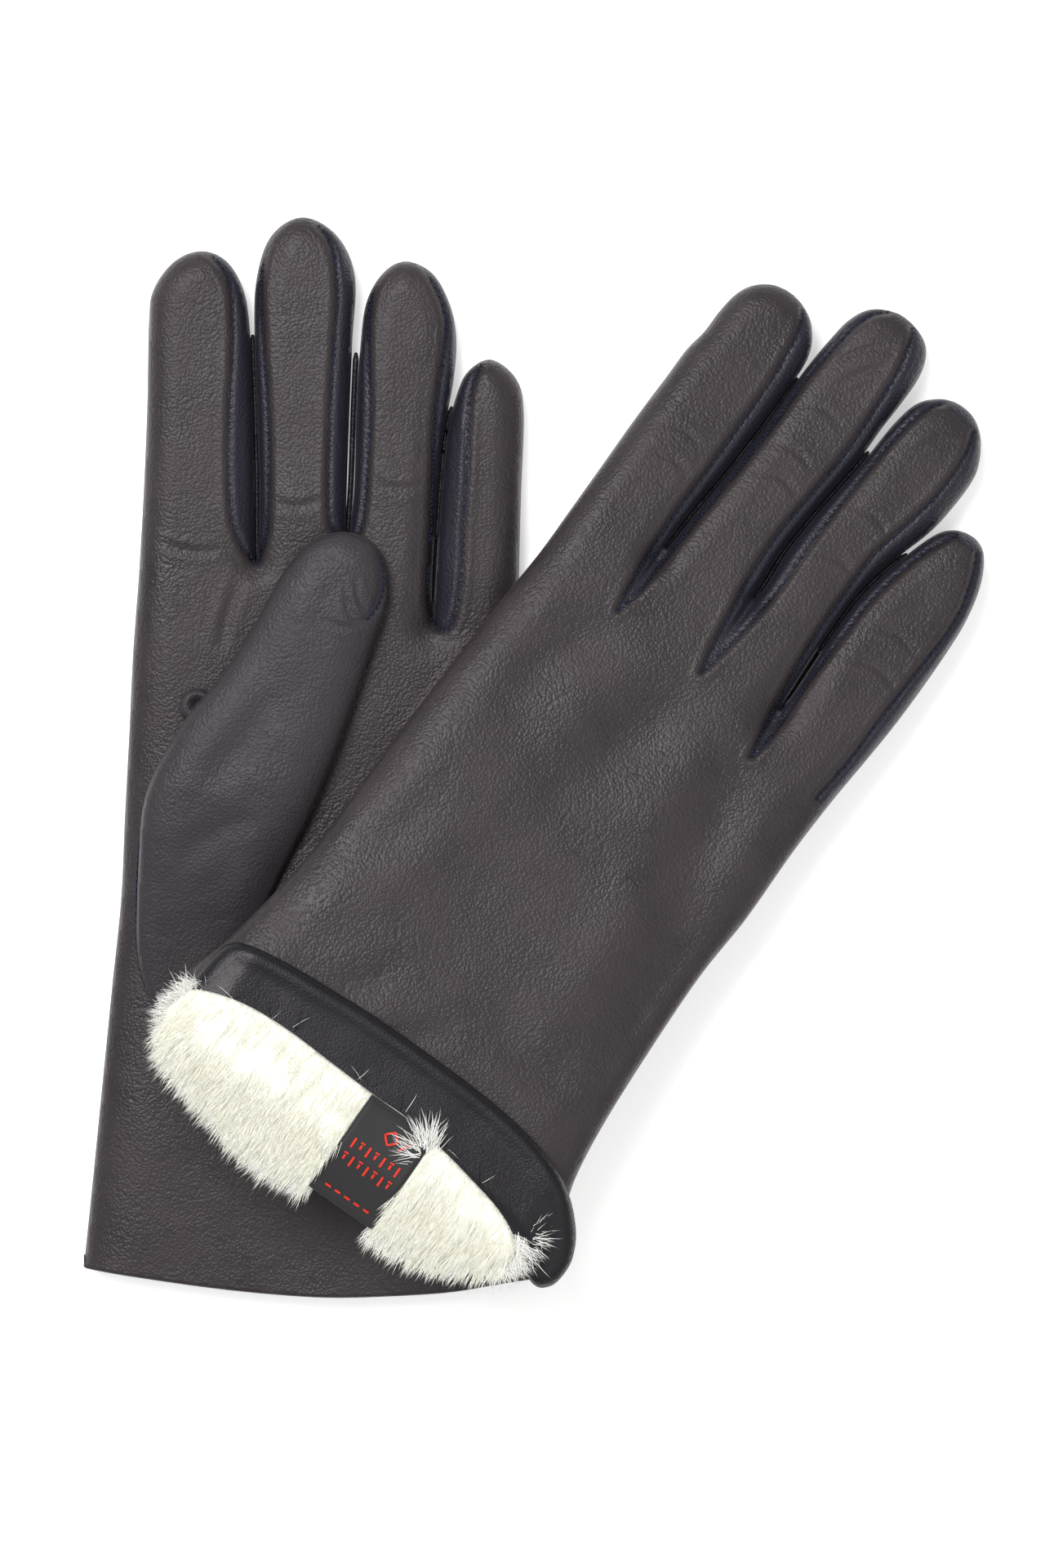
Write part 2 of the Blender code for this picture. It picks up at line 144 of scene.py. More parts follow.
# Seams between a finger's panel and its fourchettes, from the crotch to the fingertip.
LEFT_SEAMS = {
    "index_outer": [(-11.6, 171.6), (-14, 174.5), (-16.4, 181), (-17.2, 192), (-17.1, 204), (-16.4, 217),
                    (-16.2, 227),
                    (-17.3, 237), (-21.2, 242.6), (-23.6, 244)],
    "middle_inner": [(-10.2, 171.6), (-9.2, 174.5), (-8, 181), (-7.7, 196), (-8, 207.5), (-9, 223),
                     (-9.5, 236),
                     (-8, 246), (-4.6, 250.4)],
    "middle_outer": [(9.6, 176.8), (7.6, 178), (6.1, 183), (6.4, 204), (7.6, 223), (8.2, 234),
                     (6.9, 244.4), (3, 250.6)],
    "ring_inner": [(11, 176.6), (13.4, 178), (14.8, 186), (15.9, 205), (15.5, 221), (16, 232),
                   (18.2, 238.4), (20.6, 241)],
    "ring_outer": [(31.4, 155.6), (29.6, 160), (29.1, 166.4), (29.7, 174), (30.3, 189.2), (31, 202.8),
                   (31.9, 212),
                   (33, 219.5), (33.5, 227), (32.1, 232.6), (28, 240.8)],
    "little_inner": [(31.8, 155.4), (34.6, 156), (36.5, 162), (37.4, 170), (37.8, 181.6), (38.5, 193),
                     (38.9, 204.3),
                     (39.6, 212), (42, 217.6)],
}
RIGHT_SEAMS = {
    "index_outer": [(-14.9, 155.4), (-15.5, 159.7), (-16.5, 171.9), (-16.6, 186.7), (-16.2, 198),
                    (-16, 217.9),
                    (-16.5, 226.7), (-17.4, 233.7), (-19.6, 239.4)],
    "middle_inner": [(-14.6, 155.4), (-13.2, 163), (-12.4, 172.8), (-11.7, 182.6), (-10.9, 191.3),
                     (-10.2, 201.7),
                     (-9.8, 210.3), (-9.6, 219.7), (-9.4, 226.2), (-8.4, 234.7), (-7.3, 242),
                     (-5.4, 247.2), (-2.4, 250.4)],
    "middle_outer": [(9.1, 154.6), (7.6, 163.7), (6.8, 171.5), (5.8, 181), (5.7, 193.1), (6.8, 205),
                     (7.8, 216.8),
                     (7.5, 230.6), (6.9, 239.5), (5.1, 247.5), (3.6, 250.6)],
    "ring_inner": [(9.4, 154.6), (10.9, 162.8), (12.2, 171.6), (13.1, 182.4), (13.2, 195.6), (13.8, 208.1),
                   (14.5, 217.8), (15.3, 226.5), (17, 234.6), (20, 239.8)],
    "ring_outer": [(29.7, 144.9), (28.5, 153.3), (27.3, 162.8), (26.2, 176.8), (26.2, 188.8), (26.6, 200.3),
                   (29.1, 211.3), (31, 222), (31, 231.3), (29.4, 238)],
    "little_inner": [(30.2, 145.3), (31.2, 156.1), (31, 167.1), (31.4, 178.6), (32, 190), (33.9, 200.2),
                     (36.4, 208.6),
                     (39.6, 215)],
    "little_seam": [(47.6, 146), (49, 158.4), (49.4, 169.8), (50.2, 183.4), (50.8, 193.1), (50.5, 201.4),
                    (48.6, 208.8),
                    (46.2, 214.6)],
}
LEFT_VALLEYS = []
RIGHT_VALLEYS = [((-14.7, 156.4), (-14.1, 171.4)), ((9.2, 155.4), (9.6, 176.6)), ((30.0, 145.6),
    (29.3, 157.4))]

# The gaps between neighbouring fingers, from the crotch upwards.
LEFT_GAPS = [
    [(-10.8, 171.4), (-10.8, 190), (-11.2, 207), (-11.8, 223), (-12.2, 240)],
    [(10.3, 176.6), (11.2, 190), (11.8, 207), (12.5, 222), (13.5, 240)],
    [(30.4, 156.8), (30.5, 165), (31.3, 178), (33.2, 199.7), (35.7, 212), (37, 225)],
]
RIGHT_GAPS = [
    [(-14.1, 171.4), (-13.9, 178), (-13.3, 187), (-12.2, 199), (-11.6, 211), (-11.5, 220), (-11.3, 240)],
    [(9.6, 176.6), (9.7, 181), (9.2, 190.8), (10, 201.6), (11.1, 211.8), (12, 220), (12.8, 240)],
    [(29.3, 157.4), (29.2, 165), (29, 177), (29.2, 190), (31.1, 200.6), (34.9, 212.6), (36.4, 225)],
]

# name, where the finger's piece starts, and where it has stopped bending
FINGERS = [
    ("index", 171.9, 190.0), ("middle", 177.0, 195.0), ("ring", 177.0, 195.0), ("little", 162.0, 180.0),
]


def smooth_line(points, closed=False, step=0.5):
    """A Catmull-Rom curve through the points, resampled every step."""
    pts = np.array(points, float)
    count = len(pts)
    out = []
    spans = count if closed else count - 1
    for i in range(spans):
        if closed:
            p0, p1, p2, p3 = (pts[(i + k) % count] for k in (-1, 0, 1, 2))
        else:
            p0, p1, p2, p3 = (pts[min(max(i + k, 0), count - 1)] for k in (-1, 0, 1, 2))
        n = max(int(np.hypot(*(p2 - p1)) / step), 1)
        t = (np.arange(n) / n)[:, None]
        out.append(0.5 * (2 * p1 + (p2 - p0) * t + (2 * p0 - 5 * p1 + 4 * p2 - p3) * t ** 2
                          + (3 * p1 - p0 - 3 * p2 + p3) * t ** 3))
    if not closed:
        out.append(pts[-1:])
    return np.concatenate(out)


class Near:
    """Nearest-point lookups on a densely sampled line."""

    def __init__(self, line):
        self.line = line
        self.tree = kdtree.KDTree(len(line))
        for i, p in enumerate(line):
            self.tree.insert((p[0], p[1], 0.0), i)
        self.tree.balance()

    def query(self, xy):
        found = [self.tree.find((p[0], p[1], 0.0)) for p in xy]
        index = np.array([f[1] for f in found])
        distance = np.array([f[2] for f in found])
        return distance, index


def inside(xy, polygon):
    """Even-odd test of many points against one polygon."""
    x, y = xy[:, 0], xy[:, 1]
    result = np.zeros(len(xy), bool)
    order = np.argsort(y)
    sorted_y = y[order]
    for (x0, y0), (x1, y1) in zip(polygon, np.roll(polygon, -1, axis=0)):
        if y0 == y1:
            continue
        low, high = (y0, y1) if y0 < y1 else (y1, y0)
        a, b = np.searchsorted(sorted_y, [low, high], side="left")
        rows = order[a:b]
        cross = x0 + (y[rows] - y0) * (x1 - x0) / (y1 - y0)
        result[rows] ^= x[rows] < cross
    return result


def waves(xy, size, seed, octaves=2):
    """Smooth noise over the plane, about -1 to 1."""
    return np.array([
        noise.fractal(
            Vector((p[0] / size + seed * 7.31, p[1] / size - seed * 3.7, seed * 1.13)), 0.7, 2.0, octaves
        )
        for p in xy
    ])


def dome(distance, radius):
    """The rounded edge of a stuffed shape: 0 at its outline, 1 past the radius."""
    t = np.clip(distance / radius, 0.0, 1.0)
    return np.sqrt(np.maximum(1.0 - (1.0 - t) ** 2, 0.0))


def ramp(value, low, high):
    t = np.clip((value - low) / (high - low), 0.0, 1.0)
    return t * t * (3 - 2 * t)


def bump_line(distance, width):
    return np.exp(-((distance / width) ** 2))


# ---------------------------------------------------------------- meshes

def flat_sheet(polygon, cell):
    """A fine grid cut to the polygon, its rim moved onto it. Returns the bmesh."""
    low, high = polygon.min(axis=0) - cell, polygon.max(axis=0) + cell
    span = high - low
    bm = bmesh.new()
    bmesh.ops.create_grid(
        bm, x_segments=int(span[0] / cell), y_segments=int(span[1] / cell), size=0.5,
    )
    stretch = Matrix.Diagonal((span[0], span[1], 1.0, 1.0))
    centre = (low + high) / 2
    bmesh.ops.transform(bm, matrix=Matrix.Translation((centre[0], centre[1], 0.0)) @ stretch, verts=bm.verts)
    centres = np.array([f.calc_center_median()[:2] for f in bm.faces])
    kept = inside(centres, polygon)
    bm.faces.ensure_lookup_table()
    outside = [bm.faces[i] for i in np.nonzero(~kept)[0]]
    bmesh.ops.delete(bm, geom=outside, context="FACES")
    tidy_rim(bm)
    near = Near(polygon)
    rim = [v for v in bm.verts if v.is_boundary]
    places = np.array([v.co[:2] for v in rim])
    _, index = near.query(places)
    for v, i in zip(rim, index):
        v.co.x, v.co.y = polygon[i]
    inner = [v for v in bm.verts if not v.is_boundary]
    ring = {w for v in rim for e in v.link_edges for w in [e.other_vert(v)]}
    ring |= {w for v in ring for e in v.link_edges for w in [e.other_vert(v)]}
    loose = [v for v in inner if v in ring]
    for _ in range(3):
        bmesh.ops.smooth_vert(bm, verts=loose, factor=0.5, use_axis_x=True, use_axis_y=True)
    bmesh.ops.dissolve_degenerate(bm, dist=cell * 0.02, edges=bm.edges)
    return bm


def tidy_rim(bm):
    """Removes faces that hang on by a corner, so that the rim is one clean line."""
    for _ in range(4):
        weak = [f for f in bm.faces if sum(e.is_boundary for e in f.edges) >= 3]
        pinched = [v for v in bm.verts if sum(e.is_boundary for e in v.link_edges) > 2]
        weak += [f for v in pinched for f in v.link_faces]
        if not weak:
            break
        bmesh.ops.delete(bm, geom=list(set(weak)), context="FACES")


def pillow(polygon, cell, heights, open_test=None):
    """A closed stuffed shape over a polygon. heights(xy) gives the upper and the lower surface."""
    bm = flat_sheet(polygon, cell)
    top = list(bm.verts)
    made = bmesh.ops.duplicate(bm, geom=list(bm.verts) + list(bm.edges) + list(bm.faces))
    faces = [g for g in made["geom"] if isinstance(g, bmesh.types.BMFace)]
    bmesh.ops.reverse_faces(bm, faces=faces)
    mapping = made["vert_map"]
    xy = np.array([v.co[:2] for v in top])
    upper, lower = heights(xy)
    closing = []
    for v, zu, zl in zip(top, upper, lower):
        twin = mapping[v]
        v.co.z = zu
        twin.co.z = zl
        if v.is_boundary and not (open_test and open_test(v.co)):
            twin.co.z = v.co.z
            closing += [v, twin]
    bmesh.ops.remove_doubles(bm, verts=closing, dist=1e-4)
    return bm


def attribute(mesh, name, values):
    layer = mesh.attributes.new(name, "FLOAT", "POINT")
    layer.data.foreach_set("value", np.asarray(values, np.float32))


def place(bm, name, matrix, mats, smooth=True):
    """Finishes a bmesh made in millimetres: its place goes into its mesh."""
    bm.transform(matrix)
    mesh = bpy.data.meshes.new(name)
    bm.to_mesh(mesh)
    bm.free()
    for m in mats:
        mesh.materials.append(m)
    if smooth:
        mesh.shade_smooth()
    obj = bpy.data.objects.new(name, mesh)
    bpy.context.scene.collection.objects.link(obj)
    return obj


def arrays(mesh):
    co = np.empty(len(mesh.vertices) * 3, np.float32)
    mesh.vertices.foreach_get("co", co)
    return co.reshape(-1, 3)


def copies(name, source, matrices, mats):
    """One mesh holding a copy of a small source mesh at each matrix."""
    base = np.array([v.co[:] for v in source.verts])
    source.verts.index_update()
    faces = [[v.index for v in f.verts] for f in source.faces]
    mats_np = np.array([np.array(m) for m in matrices])
    points = np.einsum("nij,vj->nvi", mats_np[:, :3, :3], base) + mats_np[:, None, :3, 3]
    count = len(base)
    loops = np.array([i for f in faces for i in f])
    sizes = np.array([len(f) for f in faces])
    n = len(matrices)
    mesh = bpy.data.meshes.new(name)
    mesh.vertices.add(n * count)
    mesh.vertices.foreach_set("co", points.reshape(-1).astype(np.float32))
    all_loops = (loops[None, :] + (np.arange(n) * count)[:, None]).reshape(-1)
    mesh.loops.add(len(all_loops))
    mesh.loops.foreach_set("vertex_index", all_loops.astype(np.int32))
    mesh.polygons.add(n * len(faces))
    all_sizes = np.tile(sizes, n)
    starts = np.concatenate([[0], np.cumsum(all_sizes)[:-1]])
    mesh.polygons.foreach_set("loop_start", starts.astype(np.int32))
    mesh.update(calc_edges=True)
    mesh.validate()
    for m in mats:
        mesh.materials.append(m)
    mesh.shade_smooth()
    obj = bpy.data.objects.new(name, mesh)
    bpy.context.scene.collection.objects.link(obj)
    source.free()
    return obj


# ---------------------------------------------------------------- materials

def node_group(name, inputs, outputs):
    tree = bpy.data.node_groups.new(name, "ShaderNodeTree")
    for label, kind, default in inputs:
        socket = tree.interface.new_socket(label, in_out="INPUT", socket_type=kind)
        if default is not None:
            socket.default_value = default
    for label, kind in outputs:
        tree.interface.new_socket(label, in_out="OUTPUT", socket_type=kind)
    return tree, tree.nodes.new("NodeGroupInput"), tree.nodes.new("NodeGroupOutput")


def add(tree, kind, **values):
    """A node with its properties and unlinked inputs set: an input is named by its socket or its number."""
    made = tree.nodes.new(kind)
    for key, value in values.items():
        if key.startswith("in_"):
            slot = key[3:].replace("_", " ")
            made.inputs[int(slot) if slot.isdigit() else slot].default_value = value
        else:
            setattr(made, key, value)
    return made


def grain_group():
    """Nappa grain: fine pebbles, creases where the skin has moved, and a slow mottle."""
    tree, source, sink = node_group(
        "nappa_grain",
        [("Vector", "NodeSocketVector", None), ("Pebble Scale", "NodeSocketFloat", 1500.0),
         ("Crease Amount", "NodeSocketFloat", 0.4)],
        [("Height", "NodeSocketFloat"), ("Mottle", "NodeSocketFloat")],
    )
    link = tree.links.new
    warp = add(tree, "ShaderNodeTexNoise", in_Scale=260.0, in_Detail=2.0)
    warped = add(tree, "ShaderNodeVectorMath", operation="MULTIPLY_ADD", in_1=(0.0016, 0.0016, 0.0016))
    link(source.outputs["Vector"], warp.inputs["Vector"])
    link(warp.outputs["Color"], warped.inputs[0])
    link(source.outputs["Vector"], warped.inputs[2])
    pebbles = add(tree, "ShaderNodeTexVoronoi", feature="SMOOTH_F1", in_Smoothness=0.35)
    link(warped.outputs[0], pebbles.inputs["Vector"])
    link(source.outputs["Pebble Scale"], pebbles.inputs["Scale"])
    creases = add(tree, "ShaderNodeTexVoronoi", feature="DISTANCE_TO_EDGE", in_Scale=300.0)
    link(warped.outputs[0], creases.inputs["Vector"])
    valley = add(tree, "ShaderNodeMapRange", in_1=0.0, in_2=0.16, in_3=1.0, in_4=0.0)
    link(creases.outputs["Distance"], valley.inputs["Value"])
    moved = add(tree, "ShaderNodeTexNoise", in_Scale=38.0, in_Detail=3.0)
    link(source.outputs["Vector"], moved.inputs["Vector"])
    where = add(tree, "ShaderNodeMapRange", in_1=0.48, in_2=0.68, in_3=0.0, in_4=1.0)
    link(moved.outputs["Fac"], where.inputs["Value"])
    lines = add(tree, "ShaderNodeMath", operation="MULTIPLY")
    link(valley.outputs["Result"], lines.inputs[0])
    link(where.outputs["Result"], lines.inputs[1])
    scaled = add(tree, "ShaderNodeMath", operation="MULTIPLY")
    link(lines.outputs[0], scaled.inputs[0])
    link(source.outputs["Crease Amount"], scaled.inputs[1])
    height = add(tree, "ShaderNodeMath", operation="ADD")
    link(pebbles.outputs["Distance"], height.inputs[0])
    link(scaled.outputs[0], height.inputs[1])
    upside = add(tree, "ShaderNodeMath", operation="MULTIPLY", in_1=-1.0)
    link(height.outputs[0], upside.inputs[0])
    slow = add(tree, "ShaderNodeTexNoise", in_Scale=55.0, in_Detail=4.0, in_Roughness=0.6)
    link(source.outputs["Vector"], slow.inputs["Vector"])
    link(upside.outputs[0], sink.inputs["Height"])
    link(slow.outputs["Fac"], sink.inputs["Mottle"])
    return tree


GRAIN = None


def leather(name, dark, light, strip=None, roughness=(0.36, 0.5), depth=0.00026, pebble=1500.0, crease=0.35):
    """Dyed nappa. With a strip colour, the 'seam' attribute gives the fourchette's dye past the seam, and a
    painted shade that darkens the colour along the seam line.
    """
    global GRAIN
    GRAIN = GRAIN or grain_group()
    mat = bpy.data.materials.new(name)
    mat.use_nodes = True
    tree = mat.node_tree
    link = tree.links.new
    shader = tree.nodes["Principled BSDF"]
    shader.inputs["Specular IOR Level"].default_value = 0.34
    shader.inputs["Sheen Weight"].default_value = 0.05
    shader.inputs["Sheen Roughness"].default_value = 0.4
    shader.inputs["Sheen Tint"].default_value = (0.8, 0.65, 0.7, 1.0)
    shader.inputs["Specular Tint"].default_value = (1.0, 0.94, 0.97, 1.0)
    place_at = add(tree, "ShaderNodeTexCoord")
    grain = tree.nodes.new("ShaderNodeGroup")
    grain.node_tree = GRAIN
    grain.inputs["Pebble Scale"].default_value = pebble
    grain.inputs["Crease Amount"].default_value = crease
    link(place_at.outputs["Object"], grain.inputs["Vector"])
    tone = add(tree, "ShaderNodeMix", data_type="RGBA")
    tone.inputs[6].default_value = dark
    tone.inputs[7].default_value = light
    link(grain.outputs["Mottle"], tone.inputs["Factor"])
    colour = tone.outputs[2]
    if strip:
        seam = add(tree, "ShaderNodeAttribute", attribute_name="seam")
        past = add(tree, "ShaderNodeMapRange", in_1=0.05, in_2=0.35, in_3=0.0, in_4=1.0)
        link(seam.outputs["Fac"], past.inputs["Value"])
        dyed = add(tree, "ShaderNodeMix", data_type="RGBA")
        dyed.inputs[7].default_value = strip
        link(past.outputs["Result"], dyed.inputs["Factor"])
        link(colour, dyed.inputs[6])
        # painted shade: within about 0.8 mm of the seam the colour is multiplied down to 0.15, as if shade
        # fell in the seam's groove
        away = add(tree, "ShaderNodeMath", operation="ABSOLUTE")
        link(seam.outputs["Fac"], away.inputs[0])
        shade = add(tree, "ShaderNodeMapRange", in_1=0.08, in_2=0.8, in_3=0.15, in_4=1.0)
        link(away.outputs[0], shade.inputs["Value"])
        seam_groove_painted_shade = add(tree, "ShaderNodeMix", data_type="RGBA", blend_type="MULTIPLY", in_0=1.0)
        link(dyed.outputs[2], seam_groove_painted_shade.inputs[6])
        link(shade.outputs["Result"], seam_groove_painted_shade.inputs[7])
        colour = seam_groove_painted_shade.outputs[2]
    link(colour, shader.inputs["Base Color"])
    gloss = add(tree, "ShaderNodeMapRange", in_1=0.3, in_2=0.7, in_3=roughness[0], in_4=roughness[1])
    link(grain.outputs["Mottle"], gloss.inputs["Value"])
    link(gloss.outputs["Result"], shader.inputs["Roughness"])
    bump = add(tree, "ShaderNodeBump", in_Strength=0.55, in_Distance=depth)
    link(grain.outputs["Height"], bump.inputs["Height"])
    link(bump.outputs["Normal"], shader.inputs["Normal"])
    return mat


def fur_material(name, root, tip, painted_glow):
    """Combed fur: the colour changes along streaks, paler and colder at the tips, and a painted glow in the
    tip colour lightens it.
    """
    mat = bpy.data.materials.new(name)
    mat.use_nodes = True
    tree = mat.node_tree
    link = tree.links.new
    shader = tree.nodes["Principled BSDF"]
    shader.inputs["Specular IOR Level"].default_value = 0.25
    shader.inputs["Sheen Weight"].default_value = 0.3
    # painted light: emission in the tip colour brightens the fur, standing in for light scattered through the
    # hairs and filling their shadows
    shader.inputs["Emission Color"].default_value = tip
    shader.inputs["Emission Strength"].default_value = painted_glow
    where = add(tree, "ShaderNodeTexCoord")
    comb = add(tree, "ShaderNodeMapping")
    comb.inputs["Rotation"].default_value = (0.0, 0.0, math.radians(34.8))
    comb.inputs["Scale"].default_value = (1.0, 0.12, 1.0)
    link(where.outputs["Object"], comb.inputs["Vector"])
    streaks = add(tree, "ShaderNodeTexNoise", in_Scale=900.0, in_Detail=3.0, in_Roughness=0.65)
    link(comb.outputs["Vector"], streaks.inputs["Vector"])
    tone = add(tree, "ShaderNodeMix", data_type="RGBA")
    tone.inputs[6].default_value = root
    tone.inputs[7].default_value = tip
    spread = add(tree, "ShaderNodeMapRange", in_1=0.35, in_2=0.6, in_3=0.0, in_4=1.0)
    link(streaks.outputs["Fac"], spread.inputs["Value"])
    link(spread.outputs["Result"], tone.inputs["Factor"])
    link(tone.outputs[2], shader.inputs["Base Color"])
    rough = add(tree, "ShaderNodeMapRange", in_1=0.3, in_2=0.7, in_3=0.75, in_4=0.95)
    link(streaks.outputs["Fac"], rough.inputs["Value"])
    link(rough.outputs["Result"], shader.inputs["Roughness"])
    bump = add(tree, "ShaderNodeBump", in_Strength=0.8, in_Distance=0.0006)
    link(streaks.outputs["Fac"], bump.inputs["Height"])
    link(bump.outputs["Normal"], shader.inputs["Normal"])
    return mat


def thread_material(name, dark, light):
    mat = bpy.data.materials.new(name)
    mat.use_nodes = True
    tree = mat.node_tree
    link = tree.links.new
    shader = tree.nodes["Principled BSDF"]
    shader.inputs["Specular IOR Level"].default_value = 0.2
    where = add(tree, "ShaderNodeTexCoord")
    twist = add(tree, "ShaderNodeTexNoise", in_Scale=2600.0, in_Detail=1.0)
    link(where.outputs["Object"], twist.inputs["Vector"])
    tone = add(tree, "ShaderNodeMix", data_type="RGBA")
    tone.inputs[6].default_value = dark
    tone.inputs[7].default_value = light
    link(twist.outputs["Fac"], tone.inputs["Factor"])
    link(tone.outputs[2], shader.inputs["Base Color"])
    rough = add(tree, "ShaderNodeMapRange", in_1=0.3, in_2=0.7, in_3=0.45, in_4=0.7)
    link(twist.outputs["Fac"], rough.inputs["Value"])
    link(rough.outputs["Result"], shader.inputs["Roughness"])
    return mat


def woven_material():
    """The label's black satin: fine ribs along its length and across it."""
    mat = bpy.data.materials.new("black_woven_satin")
    mat.use_nodes = True
    tree = mat.node_tree
    link = tree.links.new
    shader = tree.nodes["Principled BSDF"]
    shader.inputs["Sheen Weight"].default_value = 0.2
    where = add(tree, "ShaderNodeTexCoord")
    turned = add(tree, "ShaderNodeMapping")
    turned.inputs["Rotation"].default_value = (0.0, 0.0, math.radians(34.8))
    link(where.outputs["Object"], turned.inputs["Vector"])
    warp = add(tree, "ShaderNodeTexWave", bands_direction="X", in_Scale=700.0, in_Distortion=0.6)
    weft = add(tree, "ShaderNodeTexWave", bands_direction="Y", in_Scale=420.0, in_Distortion=0.6)
    link(turned.outputs["Vector"], warp.inputs["Vector"])
    link(turned.outputs["Vector"], weft.inputs["Vector"])
    weave = add(tree, "ShaderNodeMath", operation="MULTIPLY")
    link(warp.outputs["Fac"], weave.inputs[0])
    link(weft.outputs["Fac"], weave.inputs[1])
    tone = add(tree, "ShaderNodeMix", data_type="RGBA")
    tone.inputs[6].default_value = (0.006, 0.006, 0.0065, 1)
    tone.inputs[7].default_value = (0.02, 0.019, 0.02, 1)
    link(weave.outputs[0], tone.inputs["Factor"])
    link(tone.outputs[2], shader.inputs["Base Color"])
    rough = add(tree, "ShaderNodeMapRange", in_1=0.0, in_2=1.0, in_3=0.6, in_4=0.8)
    link(weave.outputs[0], rough.inputs["Value"])
    link(rough.outputs["Result"], shader.inputs["Roughness"])
    bump = add(tree, "ShaderNodeBump", in_Strength=0.4, in_Distance=0.0001)
    link(weave.outputs[0], bump.inputs["Height"])
    link(bump.outputs["Normal"], shader.inputs["Normal"])
    return mat


# The skin is dyed nappa with a painted shade along its seam lines.
SKIN = leather("dyed_nappa_with_painted_seam_shade", (0.0130, 0.0115, 0.0150, 1), (0.0430, 0.0335, 0.0340, 1),
               strip=(0.0145, 0.0140, 0.0225, 1))
PLAIN_SKIN = leather("thumb_nappa", (0.0200, 0.0180, 0.0225, 1), (0.0390, 0.0335, 0.0370, 1),
                     roughness=(0.42, 0.54), crease=0.3)
FOURCHETTE = leather("fourchette_nappa", (0.008, 0.008, 0.013, 1), (0.014, 0.013, 0.021, 1), crease=0.2)
HEM = leather("hem_facing_leather", (0.0020, 0.0022, 0.0034, 1), (0.0040, 0.0042, 0.0060, 1),
              roughness=(0.34, 0.44),
              depth=0.0001, pebble=2200.0, crease=0.15)
# The last number of each fur is its painted glow, an emission that lightens it.
FUR = fur_material("combed_fur", (0.92, 0.90, 0.75, 1), (0.985, 0.98, 0.89, 1), 0.05)
FUR_PILE = fur_material("fur_pile", (0.93, 0.91, 0.78, 1), (0.985, 0.98, 0.90, 1), 0.13)
FRINGE = fur_material("fur_tips", (0.90, 0.89, 0.82, 1), (0.98, 0.98, 0.96, 1), 0.1)
THREAD = thread_material("navy_thread", (0.005, 0.007, 0.022, 1), (0.013, 0.018, 0.055, 1))
RED_THREAD = thread_material("red_thread", (0.55, 0.02, 0.012, 1), (0.75, 0.05, 0.03, 1))
LABEL_CLOTH = woven_material()


# ---------------------------------------------------------------- the gloves' surfaces

LEFT_POLY = np.concatenate([smooth_line(LEFT_OUTLINE + LEFT_CUFF[:1]), smooth_line(LEFT_CUFF)[1:-1],
                            smooth_line([LEFT_CUFF[-1]] + LEFT_SIDE_START + LEFT_OUTLINE[:1])[:-1]])
RIGHT_POLY = np.concatenate([smooth_line(RIGHT_OUTLINE + RIGHT_CUFF[:1]), smooth_line(RIGHT_CUFF)[1:-1],
                             smooth_line([RIGHT_CUFF[-1]] + RIGHT_OUTLINE[:1])[:-1]])


def panel_polygons(seams):
    """Each finger's panel between its seams, carried down over the hand. What is left is fourchette."""
    down = 100.0
    spans = {
        "index": (None, seams["index_outer"]),
        "middle": (seams["middle_inner"], seams["middle_outer"]),
        "ring": (seams["ring_inner"], seams["ring_outer"]),
        "little": (seams["little_inner"], seams.get("little_seam")),
    }
    polygons = []
    for left, right in spans.values():
        rising = [(-80.0, down),
        (-80.0, 280.0)] if left is None else [(left[0][0] - 1.0, down)] + list(smooth_line(left))
        falling = [(80.0, 280.0),
        (80.0, down)] if right is None else list(smooth_line(right))[::-1] + [(right[0][0] + 1.0, down)]
        polygons.append(np.array(rising + falling, float))
    return polygons


